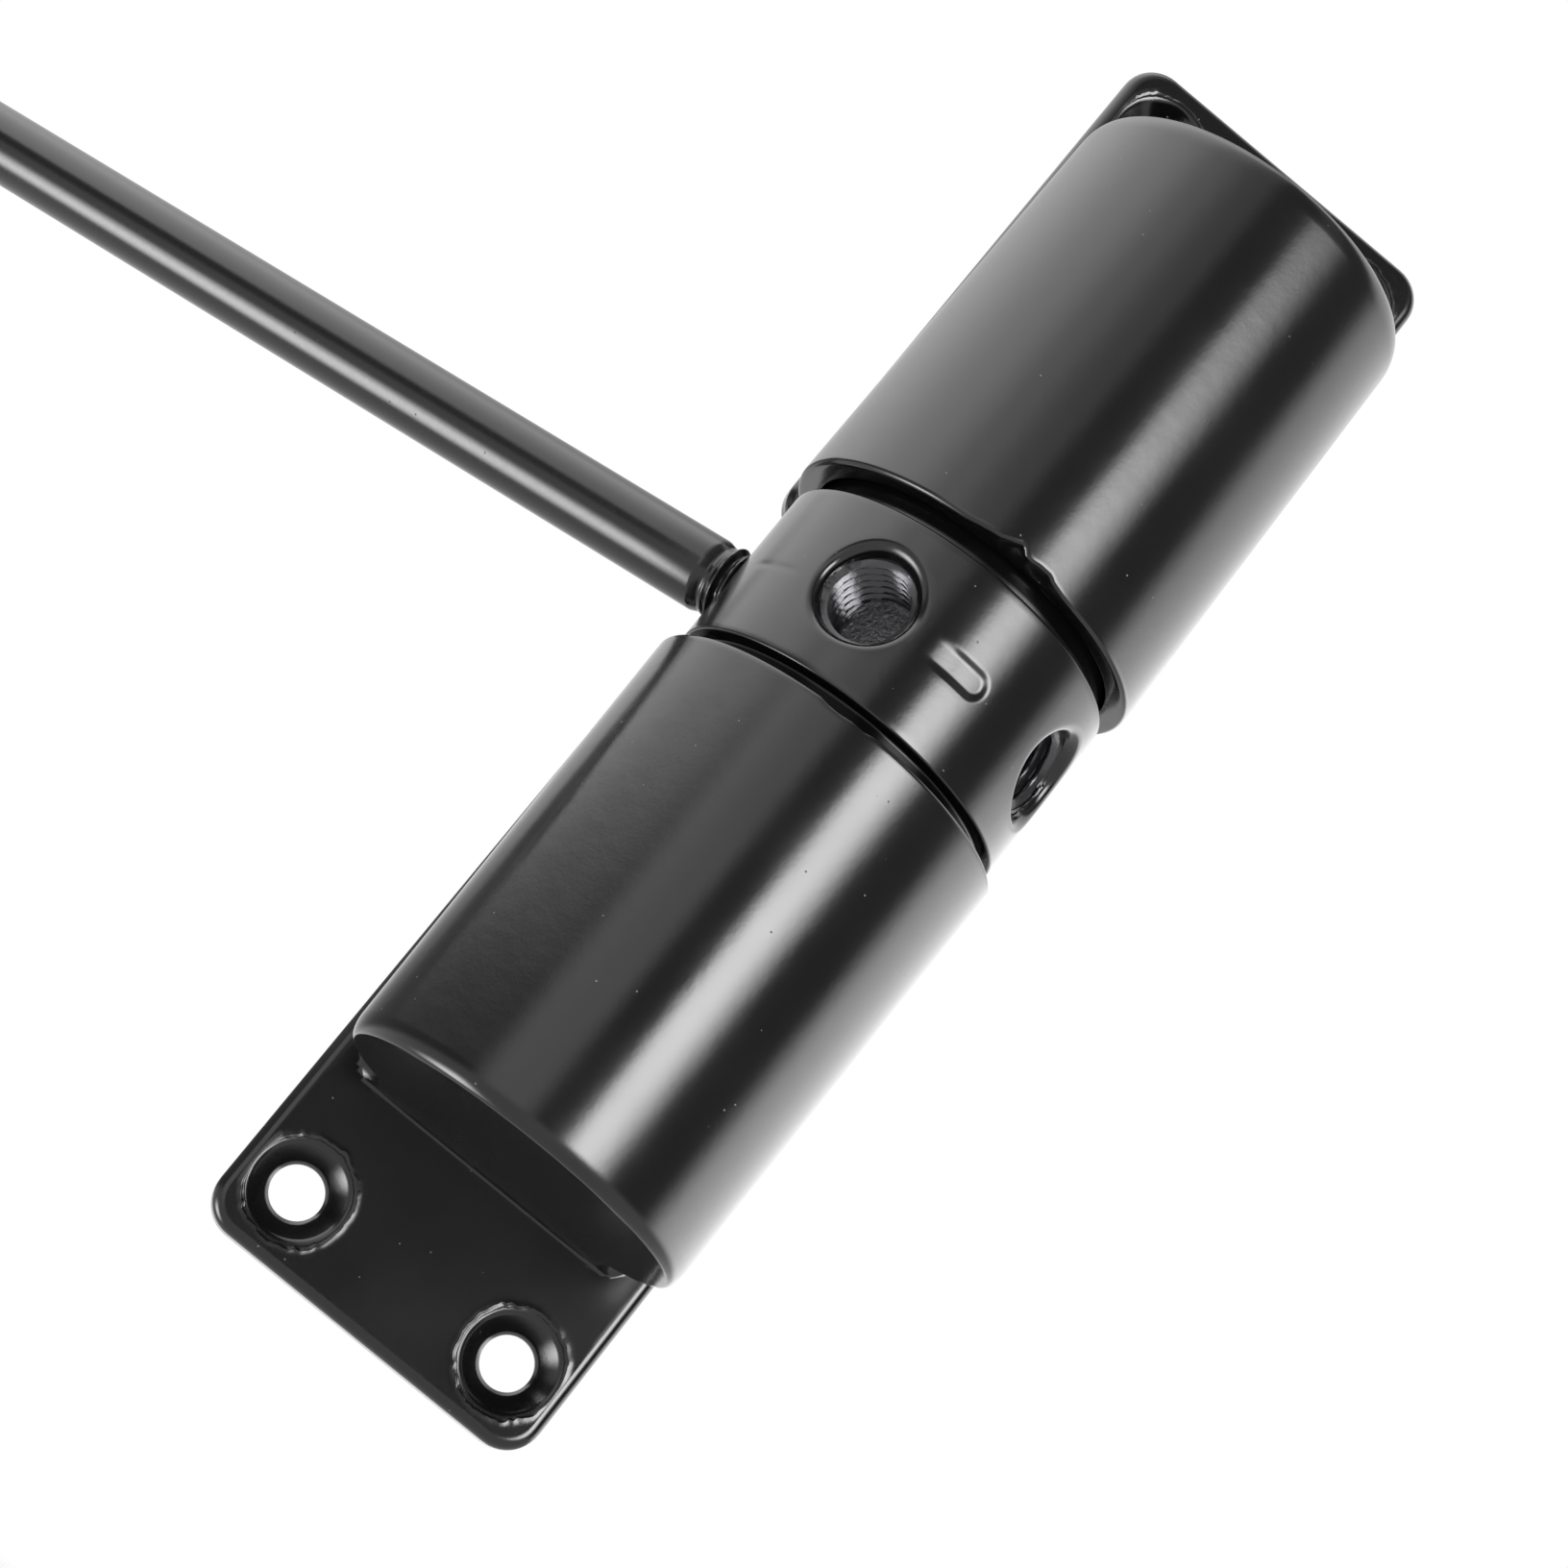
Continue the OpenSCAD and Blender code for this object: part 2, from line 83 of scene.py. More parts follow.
# Housings. Each is one zinc die casting under thick black paint: a tapered barrel,
# closed at its outer end, that runs into its screw plate through round fillets. The
# paint pools round the countersinks, and flash was left on the mouths' outer edges.
MM = 0.001
AXIS_Y = -21.5
PLATE_HALF_W = 20.0
PLATE_START, PLATE_END = 12.3, 80.0
PLATE_T, PLATE_CORNER = 3.5, 4.0
PLATE_EDGE, BACK_EDGE = 1.2, 0.25
PLATE_STEP, SCREW_REACH = 0.5, 6.6
SCREW_X, SCREW_Z = 13.3, 72.5
SCREW_R, LIP_R = 2.8, 5.1
MOUTH_R, END_R, BORE_R = 20.08, 19.5, 17.5
MOUTH_Z, CLOSED_Z, INNER_END_Z = 11.2, 60.0, 54.0
RIM_IN, RIM_L, MOUTH_EDGE = 0.9, 2.2, 0.5
BORE_EDGE, BORE_KNEE, INNER_EDGE = 0.3, 0.08, 0.6
NICK_REACH = 4.5
ROOT, ROOT_SINK = 3.5, 0.06
FOOT_FILLET, FOOT_FULL, FOOT_GONE = 0.4, 8.0, 14.5
SHAFT_R, SHAFT_SEAT, SEAT_GAP, SEAT_EDGE = 4.0, 4.5, 0.02, 0.3
WELD = 0.0005


def arc(start, stop, steps):
    """Angles from start to stop degrees in equal steps, in radians."""
    return np.radians(np.linspace(start, stop, steps + 1))


def smooth(low, high, value):
    """0 below low, 1 above high and an S-curve between them."""
    t = np.clip((value - low) / (high - low), 0, 1)
    return t * t * (3 - 2 * t)


def waves(angle, seed, count=9, first=2):
    """Ragged closed curve round a circle: a sum of sines of rising frequency and seeded
    phase, each weaker than the one before, in the range of about -1 to 1."""
    dice = np.random.default_rng(seed)
    order = first + np.arange(count) * 2
    phase = dice.uniform(0, 2 * np.pi, count)
    size = 1 / np.sqrt(order)
    total = (size * np.sin(np.asarray(angle)[..., None] * order + phase)).sum(-1)
    return total / size.sum()


def grid_lines(marks, step):
    """Lines through all the marks, with equal steps of at most step between two marks."""
    counts = [max(1, math.ceil((b - a) / step - 1e-6)) for a, b in zip(marks, marks[1:])]
    parts = [np.linspace(a, b, n + 1)[:-1] for a, b, n in zip(marks, marks[1:], counts)]
    return np.append(np.concatenate(parts), marks[-1])


def loop_of(rows, cols):
    """Row and column numbers of the closed border of a block of a grid, as two arrays."""
    (r0, r1), (c0, c1) = rows, cols
    row = np.concatenate([np.full(c1 - c0, r0), np.arange(r0, r1),
                          np.full(c1 - c0, r1), np.arange(r1, r0, -1)])
    col = np.concatenate([np.arange(c0, c1), np.full(r1 - r0, c1),
                          np.arange(c1, c0, -1), np.full(r1 - r0, c0)])
    return row, col


def solid(name, sheets, sharp=None):
    """One closed mesh from sheets of points. A sheet is (points, wrap, holes): rows by
    columns by xyz in millimetres, where neighbours make quads, wrap joins the last column
    to the first, and holes are blocks of cells left out. Meeting borders are welded, and
    edges over sharp degrees stay sharp."""
    places, quads, start = [], [], 0
    for points, wrap, holes in sheets:
        rows, cols = points.shape[:2]
        number = start + np.arange(rows * cols).reshape(rows, cols)
        if wrap:
            number = np.column_stack([number, number[:, 0]])
        keep = np.ones((rows - 1, number.shape[1] - 1), bool)
        for (r0, r1), (c0, c1) in holes:
            keep[r0:r1, c0:c1] = False
        corners = [number[:-1, :-1], number[:-1, 1:], number[1:, 1:], number[1:, :-1]]
        quads.append(np.stack(corners, -1)[keep])
        places.append(points.reshape(-1, 3))
        start += rows * cols
    mesh = bpy.data.meshes.new(name)
    mesh.from_pydata(np.concatenate(places) * MM, [], np.concatenate(quads))
    made = bmesh.new()
    made.from_mesh(mesh)
    bmesh.ops.remove_doubles(made, verts=made.verts, dist=WELD * MM)
    bmesh.ops.recalc_face_normals(made, faces=made.faces)
    made.to_mesh(mesh)
    made.free()
    mesh.shade_smooth()
    if sharp:
        mesh.set_sharp_from_angle(angle=math.radians(sharp))
    piece = bpy.data.objects.new(name, mesh)
    bpy.context.scene.collection.objects.link(piece)
    return piece


def settle(piece, sharp=40):
    """Bakes the piece's modifiers into its mesh, and keeps edges over sharp degrees."""
    bpy.context.view_layer.update()
    graph = bpy.context.evaluated_depsgraph_get()
    mesh = bpy.data.meshes.new_from_object(piece.evaluated_get(graph))
    piece.modifiers.clear()
    piece.data = mesh
    mesh.shade_smooth()
    mesh.set_sharp_from_angle(angle=math.radians(sharp))


def barrel_section(radius, inset):
    """Section of the barrel in a plane across its axis, for columns of radii and insets:
    a circle from one flank round the front to the other, then on each side a concave
    fillet of radius ROOT down to the plate, and a straight foot inside the plate."""
    level = -AXIS_Y - PLATE_T + ROOT_SINK
    centre_y = level - ROOT
    centre_x = np.sqrt((radius + ROOT) ** 2 - centre_y ** 2)
    flank = np.arctan2(centre_y, centre_x)
    share = np.linspace(0, 1, 241)
    turn = flank - share * (np.pi + 2 * flank)
    round_x, round_y = (radius - inset) * np.cos(turn), (radius - inset) * np.sin(turn)
    reach = ROOT + inset
    first, last = flank + np.pi, np.pi - np.arcsin(ROOT / reach)
    bend = first + (last - first) * np.linspace(0, 1, 21)[1:]
    side_x = centre_x + reach * np.cos(bend)
    side_y = centre_y + reach * np.sin(bend)
    foot_y = -AXIS_Y - PLATE_T / 2
    foot_x = side_x[:, -1:]
    across = np.linspace(1, -1, 25)[1:-1]
    down = np.full_like(foot_x, foot_y)
    x = np.hstack([round_x[:, ::-1], side_x, foot_x, foot_x * across, -foot_x,
                   -side_x[:, ::-1]])
    y = np.hstack([round_y[:, ::-1], side_y, down, down + 0 * across, down,
                   side_y[:, ::-1]])
    return x, y


def barrel_skin(nick):
    """Closed skin of a barrel: rows of sections from the middle of the closed end over its
    rim, along the drafted outside to the mouth, across its flat face, down the bore and
    over the inner end into the shaft's seat. nick(angle) is how far the mouth's outer edge
    is eaten back. A fillet spreads the closed end into the plate, where rows are finer."""
    share = grid_lines([0, 0.86, 0.93, 1], 0.012)
    share = np.concatenate([[0, 0.3, 0.6], share[share > 0.6]])
    rim = arc(0, 90, 12)[1:]
    edge_z, still_z = MOUTH_Z + MOUTH_EDGE, MOUTH_Z + NICK_REACH
    along = grid_lines([still_z, CLOSED_Z - RIM_L], 1.6)[::-1]
    along = np.concatenate([along[1:-1], np.linspace(still_z, edge_z, 20)])
    edge = arc(0, 90, 5)[1:]
    z = np.concatenate([np.full(len(share), CLOSED_Z),
                        CLOSED_Z - RIM_L * (1 - np.cos(rim)), along,
                        MOUTH_Z + MOUTH_EDGE * (1 - np.sin(edge))])
    inset = np.concatenate([np.full(len(share), RIM_IN), RIM_IN * (1 - np.sin(rim)),
                            0 * along, MOUTH_EDGE * (1 - np.cos(edge))])
    scale = np.concatenate([share, np.ones(len(z) - len(share))])
    radius = MOUTH_R + (END_R - MOUTH_R) * (z - MOUTH_Z) / (CLOSED_Z - MOUTH_Z)
    x, y = barrel_section(radius[:, None], inset[:, None])
    x, y = x * scale[:, None], y * scale[:, None]
    z = z[:, None] + 0 * x
    height = -AXIS_Y - PLATE_T - y
    drop = np.clip(FOOT_FILLET - height, 0, FOOT_FILLET)
    spread = FOOT_FILLET - np.sqrt(FOOT_FILLET ** 2 - drop ** 2)
    z += (spread * smooth(CLOSED_Z - 6, CLOSED_Z - RIM_L, z)
          * (1 - smooth(FOOT_FULL, FOOT_GONE, abs(x))))
    angle = np.arctan2(y, x)
    z += nick(angle) * (1 - smooth(edge_z, still_z, z))
    outer_x, outer_y, outer_z = x[-1], y[-1], z[-1]
    spoke = np.arctan2(outer_y, outer_x)
    inner = [(BORE_R + BORE_EDGE, MOUTH_Z), (BORE_R + BORE_KNEE, MOUTH_Z + BORE_KNEE),
             (BORE_R, MOUTH_Z + BORE_EDGE)]
    inner += [(BORE_R, h) for h in np.linspace(MOUTH_Z + 1, INNER_END_Z - INNER_EDGE, 8)]
    inner += [(BORE_R - INNER_EDGE * (1 - math.cos(a)),
               INNER_END_Z - INNER_EDGE * (1 - math.sin(a))) for a in arc(0, 90, 4)[1:]]
    seat_r, seat_z = SHAFT_R + SEAT_GAP, INNER_END_Z + SHAFT_SEAT
    inner += [(11.0, INNER_END_Z), (seat_r + SEAT_EDGE, INNER_END_Z),
              (seat_r, INNER_END_Z + SEAT_EDGE), (seat_r, seat_z), (0, seat_z)]
    inner_r, inner_z = np.array(inner).T[:, :, None]
    face = np.array([0.25, 0.5, 0.75])[:, None]
    start_x, start_y = inner_r[0] * np.cos(spoke), inner_r[0] * np.sin(spoke)
    face_x = outer_x + (start_x - outer_x) * face
    face_y = outer_y + (start_y - outer_y) * face
    face_z = outer_z + (inner_z[0] - outer_z) * face
    x = np.vstack([x, face_x, inner_r * np.cos(spoke)])
    y = np.vstack([y, face_y, inner_r * np.sin(spoke)])
    z = np.vstack([z, face_z, inner_z + 0 * spoke])
    return x, y + AXIS_Y, z


def round_corners(x, z, box, radius):
    """Moves the points in each corner square of a rectangle onto rings about the corner's
    centre, and gives the direction square to the border at each point as well."""
    x0, x1, z0, z1 = box
    cx, cz = np.clip(x, x0 + radius, x1 - radius), np.clip(z, z0 + radius, z1 - radius)
    dx, dz = x - cx, z - cz
    size = np.maximum(np.hypot(dx, dz), 1e-9)
    ring = np.maximum(abs(dx), abs(dz))
    return cx + dx / size * ring, cz + dz / size * ring, dx / size, dz / size


def drilled_plate(box, corner, thickness, edge, back_edge, holes, step, reach):
    """Flat plate with round corners, a rounded front edge and drilled holes, as sheets in
    its own coordinates: across, along, and height above its back. A hole is (x, z,
    profile), and its profile gives the rows of radius and height from the front down to
    the back, from the turn and from the room that there is on the front."""
    x0, x1, z0, z1 = box
    flat = (x0 + edge, x1 - edge, z0 + edge, z1 - edge)
    x_marks = {flat[0], flat[0] + corner - edge, flat[1] - corner + edge, flat[1]}
    z_marks = {flat[2], flat[2] + corner - edge, flat[3] - corner + edge, flat[3]}
    bounds = []
    for hx, hz, profile in holes:
        bounds.append(((max(hz - reach, flat[2]), min(hz + reach, flat[3])),
                       (max(hx - reach, flat[0]), min(hx + reach, flat[1]))))
        z_marks |= set(bounds[-1][0])
        x_marks |= set(bounds[-1][1])
    xs = grid_lines(sorted(round(v, 6) for v in x_marks), step)
    zs = grid_lines(sorted(round(v, 6) for v in z_marks), step)
    gx, gz = np.meshgrid(xs, zs)
    px, pz, nx, nz = round_corners(gx, gz, flat, corner - edge)
    blocks = [tuple(tuple(int(np.argmin(abs(line - end))) for end in ends)
                    for line, ends in zip((zs, xs), bound)) for bound in bounds]
    sheets = [(np.stack([px, pz, 0 * px + h], -1), False, blocks) for h in (thickness, 0)]
    row, col = loop_of((0, len(zs) - 1), (0, len(xs) - 1))
    a = arc(0, 90, 6)
    out = np.concatenate([edge * np.sin(a), [edge, edge - back_edge, 0]])
    high = np.concatenate([thickness - edge * (1 - np.cos(a)), [back_edge, 0, 0]])
    bx, bz, bnx, bnz = px[row, col], pz[row, col], nx[row, col], nz[row, col]
    strip = np.stack([bx + out[:, None] * bnx, bz + out[:, None] * bnz,
                      high[:, None] + 0 * bx], -1)
    sheets.append((strip, True, []))
    for (hx, hz, profile), (rows, cols) in zip(holes, blocks):
        row, col = loop_of(rows, cols)
        sx, sz = px[row, col] - hx, pz[row, col] - hz
        turn = np.arctan2(sz, sx)
        radius, high = profile(turn, np.hypot(sx, sz))
        ease = np.linspace(0, 1, 6)[:, None]
        ring_x, ring_z = radius * np.cos(turn), radius * np.sin(turn)
        rows_x = [sx + (ring_x[0] - sx) * ease[:-1], ring_x,
                  ring_x[-1] + (sx - ring_x[-1]) * ease[1:]]
        rows_z = [sz + (ring_z[0] - sz) * ease[:-1], ring_z,
                  ring_z[-1] + (sz - ring_z[-1]) * ease[1:]]
        rows_h = [thickness + 0 * (sx * ease[:-1]), high, 0 * (sx * ease[1:])]
        sheets.append((np.stack([np.vstack(rows_x) + hx, np.vstack(rows_z) + hz,
                                 np.vstack(rows_h)], -1), True, []))
    return sheets


def screw_hole(seed):
    """Profile of a countersunk hole: a ring of pooled paint with a ragged outer edge, the
    45 degree cone, the drilled wall and a small break at the back. The rows of the paint
    are how far they lie outside the cone, how ragged they are, and how high."""
    def profile(turn, room):
        ragged = 0.75 * waves(turn, seed, 24, 3)
        lip = np.array([(1.15, 0.3, 0), (0.8, 0.8, 0.02), (0.6, 0.9, 0.06),
                        (0.5, 0.9, 0.065), (0.42, 0.85, 0), (0.2, 0.4, -0.02), (0, 0, 0)])
        wide = lip[:, :1] + lip[:, 1:2] * ragged
        radius = LIP_R + wide * np.minimum(1, (room - LIP_R - 0.03) / (wide[0] + 0.01))
        high = PLATE_T + lip[:, 2:] * (1 + 0.5 * waves(turn, seed + 1, first=5))
        cone = np.linspace(0, 1, 6)[1:, None]
        radius = np.vstack([radius, LIP_R + (SCREW_R - LIP_R) * cone + 0 * turn,
                            np.full_like(turn, SCREW_R), np.full_like(turn, SCREW_R),
                            np.full_like(turn, SCREW_R + BACK_EDGE)])
        depth = LIP_R - SCREW_R
        high = np.vstack([high, PLATE_T - depth * cone + 0 * turn,
                          np.full_like(turn, (PLATE_T - depth) / 2),
                          np.full_like(turn, BACK_EDGE), np.zeros_like(turn)])
        return radius, high
    return profile


def unite(piece, other):
    """Joins other into piece, so that nothing of either is left inside."""
    joint = piece.modifiers.new("union", "BOOLEAN")
    joint.operation, joint.solver, joint.object = "UNION", "MANIFOLD", other
    settle(piece)
    bpy.data.objects.remove(other)
    normals = piece.modifiers.new("normals", "WEIGHTED_NORMAL")
    normals.keep_sharp = True
    settle(piece)


def housing(name, side, nick, seed):
    """One casting. side is 1 for the upper and -1 for the lower housing, and the barrel
    and the plate are drawn for the upper one and turned over."""
    x, y, z = barrel_skin(nick)
    barrel = solid(name, [(np.stack([x, y, z * side], -1), True, [])])
    holes = [(sx, SCREW_Z, screw_hole(seed + i)) for i, sx in enumerate((-SCREW_X, SCREW_X))]
    sheets = drilled_plate((-PLATE_HALF_W, PLATE_HALF_W, PLATE_START, PLATE_END),
                           PLATE_CORNER, PLATE_T, PLATE_EDGE, BACK_EDGE, holes,
                           PLATE_STEP, SCREW_REACH)
    sheets = [(np.stack([p[..., 0], -p[..., 2], p[..., 1] * side], -1), wrap, cut)
              for p, wrap, cut in sheets]
    unite(barrel, solid(name + "_plate", sheets))
    return barrel


def upper_nick(angle):
    """Chipped flash on the upper mouth: a ragged bite round the front, in millimetres."""
    at = [-106, -101, -95, -91, -88.5, -87, -85, -82, -78, -76, -72, -67]
    bite = [0, 0.25, 0.55, 1.0, 1.35, 0.7, 0.5, 0.75, 0.7, 0.35, 0.1, 0]
    return np.interp(np.degrees(angle), at, bite) * (1 + 0.15 * waves(angle * 5, 3))


def lower_nick(angle):
    """Smaller chip on the lower mouth."""
    at = [-106, -103, -99, -95, -91, -88]
    return np.interp(np.degrees(angle), at, [0, 0.22, 0.3, 0.16, 0.25, 0])


upper_housing = housing("upper_housing_casting", 1, upper_nick, 11)
lower_housing = housing("lower_housing_casting", -1, lower_nick, 21)


def linear(colour):
    """An sRGB hex colour as linear red, green, blue and alpha."""
    parts = [int(colour[i:i + 2], 16) / 255 for i in (1, 3, 5)]
    return [c / 12.92 if c <= 0.04045 else ((c + 0.055) / 1.055) ** 2.4 for c in parts] + [1]


def feed(tree, node, feeds):
    """Gives a node's inputs, in order or by name, a value, a hex colour or the output that
    drives them."""
    for key, value in feeds.items() if isinstance(feeds, dict) else enumerate(feeds):
        if isinstance(value, str):
            value = linear(value)
        if isinstance(value, bpy.types.NodeSocket):
            tree.links.new(value, node.inputs[key])
        else:
            node.inputs[key].default_value = value


def add(tree, kind, feeds, out=0, **settings):
    """Adds a node with its settings and links, and gives the output that out names."""
    made = tree.nodes.new("ShaderNode" + kind)
    for key, value in settings.items():
        setattr(made, key, value)
    feed(tree, made, feeds)
    return made.outputs[out]


def new_finish(name):
    """A new material, its nodes and shader, and the piece's coordinates in millimetres. A
    pattern's scale is thus its grains per millimetre."""
    material = bpy.data.materials.new(name)
    material.use_nodes = True
    tree = material.node_tree
    place = add(tree, "TexCoord", [], "Object")
    mm = add(tree, "VectorMath", {0: place, "Scale": 1 / MM}, operation="SCALE")
    return material, tree, tree.nodes["Principled BSDF"], mm


def black_enamel(name):
    """Thick semi-gloss stoving enamel, sprayed on a tumbled casting. It gives sharp-edged
    but slightly veiled reflections, with a faint orange peel of 2 mm, fine grit of 0.3 mm,
    and a pip of dust here and there. Gives the material and what feeds its shader."""
    material, tree, shader, mm = new_finish(name)
    cloud = add(tree, "TexNoise", {"Vector": mm, "Scale": 0.09, "Detail": 3})
    peel = add(tree, "TexNoise", {"Vector": mm, "Scale": 0.45, "Detail": 2})
    grit = add(tree, "TexNoise", {"Vector": mm, "Scale": 3.2, "Detail": 3})
    pips = add(tree, "TexVoronoi", {"Vector": mm, "Scale": 0.42}, "Distance")
    pip = add(tree, "MapRange", [pips, 0.02, 0.045, 1, 0])
    tone = add(tree, "Mix", {"Factor": pip, "A": "#0E0E0F", "B": "#77777A"}, "Result",
               data_type="RGBA")
    gloss = add(tree, "MapRange", [cloud, 0.3, 0.7, 0.145, 0.19])
    dusty = add(tree, "Math", [pip, 0.3], operation="MULTIPLY")
    rough = add(tree, "Math", [dusty, gloss], operation="ADD")
    bump = add(tree, "Bump", {"Height": peel, "Distance": 0.011 * MM})
    bump = add(tree, "Bump", {"Height": grit, "Distance": 0.0035 * MM, "Normal": bump})
    bump = add(tree, "Bump", {"Height": pip, "Distance": 0.03 * MM, "Normal": bump})
    feed(tree, shader, {"Base Color": tone, "Roughness": rough, "IOR": 1.5, "Normal": bump})
    return material, tree, shader, mm, tone, rough, bump


def dress(piece, material, slot, body, *nodes):
    """Gives a piece its finish and the body it moves with, and hides the solids it stands
    for. slot is not used.
    """
    piece.data.materials.clear()
    piece.data.materials.append(material)
    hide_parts(*nodes)
    if body:
        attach(piece, body)


enamel = black_enamel("black_stoving_enamel_semi_gloss")[0]
dress(upper_housing, enamel, "black_paint", "housing", "upper_housing")
dress(lower_housing, enamel, "black_paint", "housing", "lower_housing")

# Arm ring. A black painted zinc casting that turns between the mouths on the centre
# shaft. Four M8 holes are tapped into it from the outside, a short index mark is sunk
# into its rim, and a collar on each face reaches into the barrels.
RING_R, RING_HALF, RING_EDGE = 18.8, 8.8, 0.35
FACE_LOW, FACE_HIGH = 9.5, 8.95
COLLAR_R, COLLAR_IN, COLLAR_TOP = 17.2, 15.8, 14.5
COLLAR_EASE = 0.35
HUB_R = 6.02
ARM_ANGLE = 154.2
HOLE_ANGLES = [ARM_ANGLE + 90 * i for i in range(4)]
HOLE_BLOCK, HOLE_BOTTOM = 6.9, 9.0
DIP_START, DIP_WIDTH, DIP_DEPTH, DIP_TURN = 6.1, 1.3, 1.5, 74
THREAD_PITCH, THREAD_IN, THREAD_OUT = 1.25, 3.92, 4.6
SINK_R_END, SINK_BOTTOM = 4.62, 17.0
MARK_ANGLE, MARK_DEPTH, MARK_Z = 280.6, 0.24, -0.55
MARK_FROM, MARK_FULL, MARK_STOP = -4.8, -0.8, 1.5
MARK_FLOOR, MARK_SIDE = 0.8, 1.85
MARK_LOW, MARK_HIGH, MARK_BEFORE, MARK_AFTER = -2.4, 1.4, 16, 18
SEAM_Z, SEAM_W, SEAM_H = -1.1, 0.45, 0.025
SEAM_FROM, SEAM_TO, SEAM_FADE = 196, 221, 4


def eased(corners, radius, steps=4):
    """Outline with its inner corners eased: near each, a parabola joins the points at that
    distance before and after it."""
    points = np.array(corners, float)
    out = [tuple(points[0])]
    for before, corner, after in zip(points, points[1:], points[2:]):
        a, b = before - corner, after - corner
        a *= min(radius, 0.45 * np.hypot(*a)) / np.hypot(*a)
        b *= min(radius, 0.45 * np.hypot(*b)) / np.hypot(*b)
        out += [tuple(corner + (1 - t) ** 2 * a + t ** 2 * b)
                for t in np.linspace(0, 1, steps + 1)]
    return out + [tuple(points[-1])]


def turned(outline, angles):
    """Sheet of an outline of (radius, height) turned about the closer's axis."""
    radius, height = np.asarray(outline).T[:, :, None]
    return np.stack([radius * np.cos(angles), radius * np.sin(angles) + AXIS_Y,
                     height + 0 * angles], -1)


def thread(s, turn):
    """Radius of the thread at distance s from the shaft's axis: a triangle wave along the
    hole that climbs one pitch a turn, with its crests and roots cut flat."""
    phase = (s / THREAD_PITCH - turn / (2 * np.pi)) % 1
    wave = np.clip(1.3 * (1 - abs(2 * phase - 1)) - 0.12, 0, 1)
    return THREAD_IN + (THREAD_OUT - THREAD_IN) * wave


def grain(x, y, seed, pitch=0.55):
    """Cast grain: plane waves of about that pitch that cross in seeded directions."""
    dice = np.random.default_rng(seed)
    total = 0
    for way, phase, size in zip(dice.uniform(0, np.pi, 16), dice.uniform(0, 6.3, 16),
                                dice.uniform(0.7, 1.5, 16)):
        total = total + np.sin(2 * np.pi / (pitch * size)
                               * (x * np.cos(way) + y * np.sin(way)) + phase)
    return total / 16


def rim_radius(angle, z):
    """Ring's rim: a cylinder with the index mark, a short shallow groove that is round at
    one end and runs out at the other, and a faint line left by the mould's parting."""
    along = np.radians((angle - MARK_ANGLE + 180) % 360 - 180) * RING_R
    away = np.hypot(z - MARK_Z, np.maximum(along - MARK_STOP, 0))
    mark = smooth(MARK_FROM, MARK_FULL, along) * (1 - smooth(MARK_FLOOR, MARK_SIDE, away))
    turn = angle % 360
    seam = (np.exp(-((z - SEAM_Z) / SEAM_W) ** 2)
            * smooth(SEAM_FROM, SEAM_FROM + SEAM_FADE, turn)
            * (1 - smooth(SEAM_TO - SEAM_FADE, SEAM_TO, turn)))
    return RING_R - MARK_DEPTH * mark - SEAM_H * seam


def tapped_hole(angle, loop_angle, loop_z, seed):
    """Sheet of one tapped hole, from the block's border on the rim over the rounded mouth
    and its sharp paint edge, down a rough countersink and the thread to a grainy bottom."""
    side = RING_R * np.sin(np.radians(loop_angle - angle))
    turn = np.arctan2(loop_z, side)
    ease = np.linspace(0, 1, 6)[:-1, None]
    x = side + (DIP_START * np.cos(turn) - side) * ease
    z = loop_z + (DIP_START * np.sin(turn) - loop_z) * ease
    rows = [(x, z, np.sqrt(RING_R ** 2 - x ** 2))]
    bend = arc(0, DIP_TURN, 10)[:, None]
    width = DIP_START - DIP_WIDTH * np.sin(bend)
    x, z = width * np.cos(turn), width * np.sin(turn)
    dip = DIP_DEPTH * (1 - np.cos(bend))
    rows.append((x, z, np.sqrt(RING_R ** 2 - x ** 2) - dip))
    last, level = width[-1], rows[-1][2][-1]
    share = np.linspace(0, 1, 7)[1:, None]
    ragged = 0.06 * np.stack([waves(turn, seed + i, first=7, count=14) for i in range(6)])
    width = last - 0.07 + (SINK_R_END - last + 0.07) * share ** 1.2 + ragged
    s = level - 0.06 + (SINK_BOTTOM - level + 0.06) * share + ragged[::-1]
    rows.append((width * np.cos(turn), width * np.sin(turn), s))
    s = np.linspace(SINK_BOTTOM - 0.1, HOLE_BOTTOM + 0.35, 74)[:, None] + 0 * turn
    width = thread(s, turn) + 0.03 * grain(s, turn * 4, seed)
    rows.append((width * np.cos(turn), width * np.sin(turn), s))
    width = np.linspace(THREAD_IN - 0.1, 0, 15)[:, None]
    x, z = width * np.cos(turn), width * np.sin(turn)
    rows.append((x, z, HOLE_BOTTOM + 0.13 * grain(x, z, seed + 7)))
    x, z, s = (np.vstack(part) for part in zip(*rows))
    c, d = math.cos(math.radians(angle)), math.sin(math.radians(angle))
    return np.stack([s * c - x * d, s * d + x * c + AXIS_Y, z], -1), True, []


def half_ring(face):
    """Outline from the rim over one face and the collar to the middle of the bore."""
    edge = [(RING_R - RING_EDGE * (1 - math.cos(a)), face - RING_EDGE * (1 - math.sin(a)))
            for a in arc(0, 90, 5)]
    inner = [edge[-1], (COLLAR_R, face), (COLLAR_R, COLLAR_TOP), (COLLAR_IN, COLLAR_TOP),
             (COLLAR_IN, RING_HALF), (HUB_R, RING_HALF), (HUB_R, 0)]
    return edge + eased(inner, COLLAR_EASE)[1:]


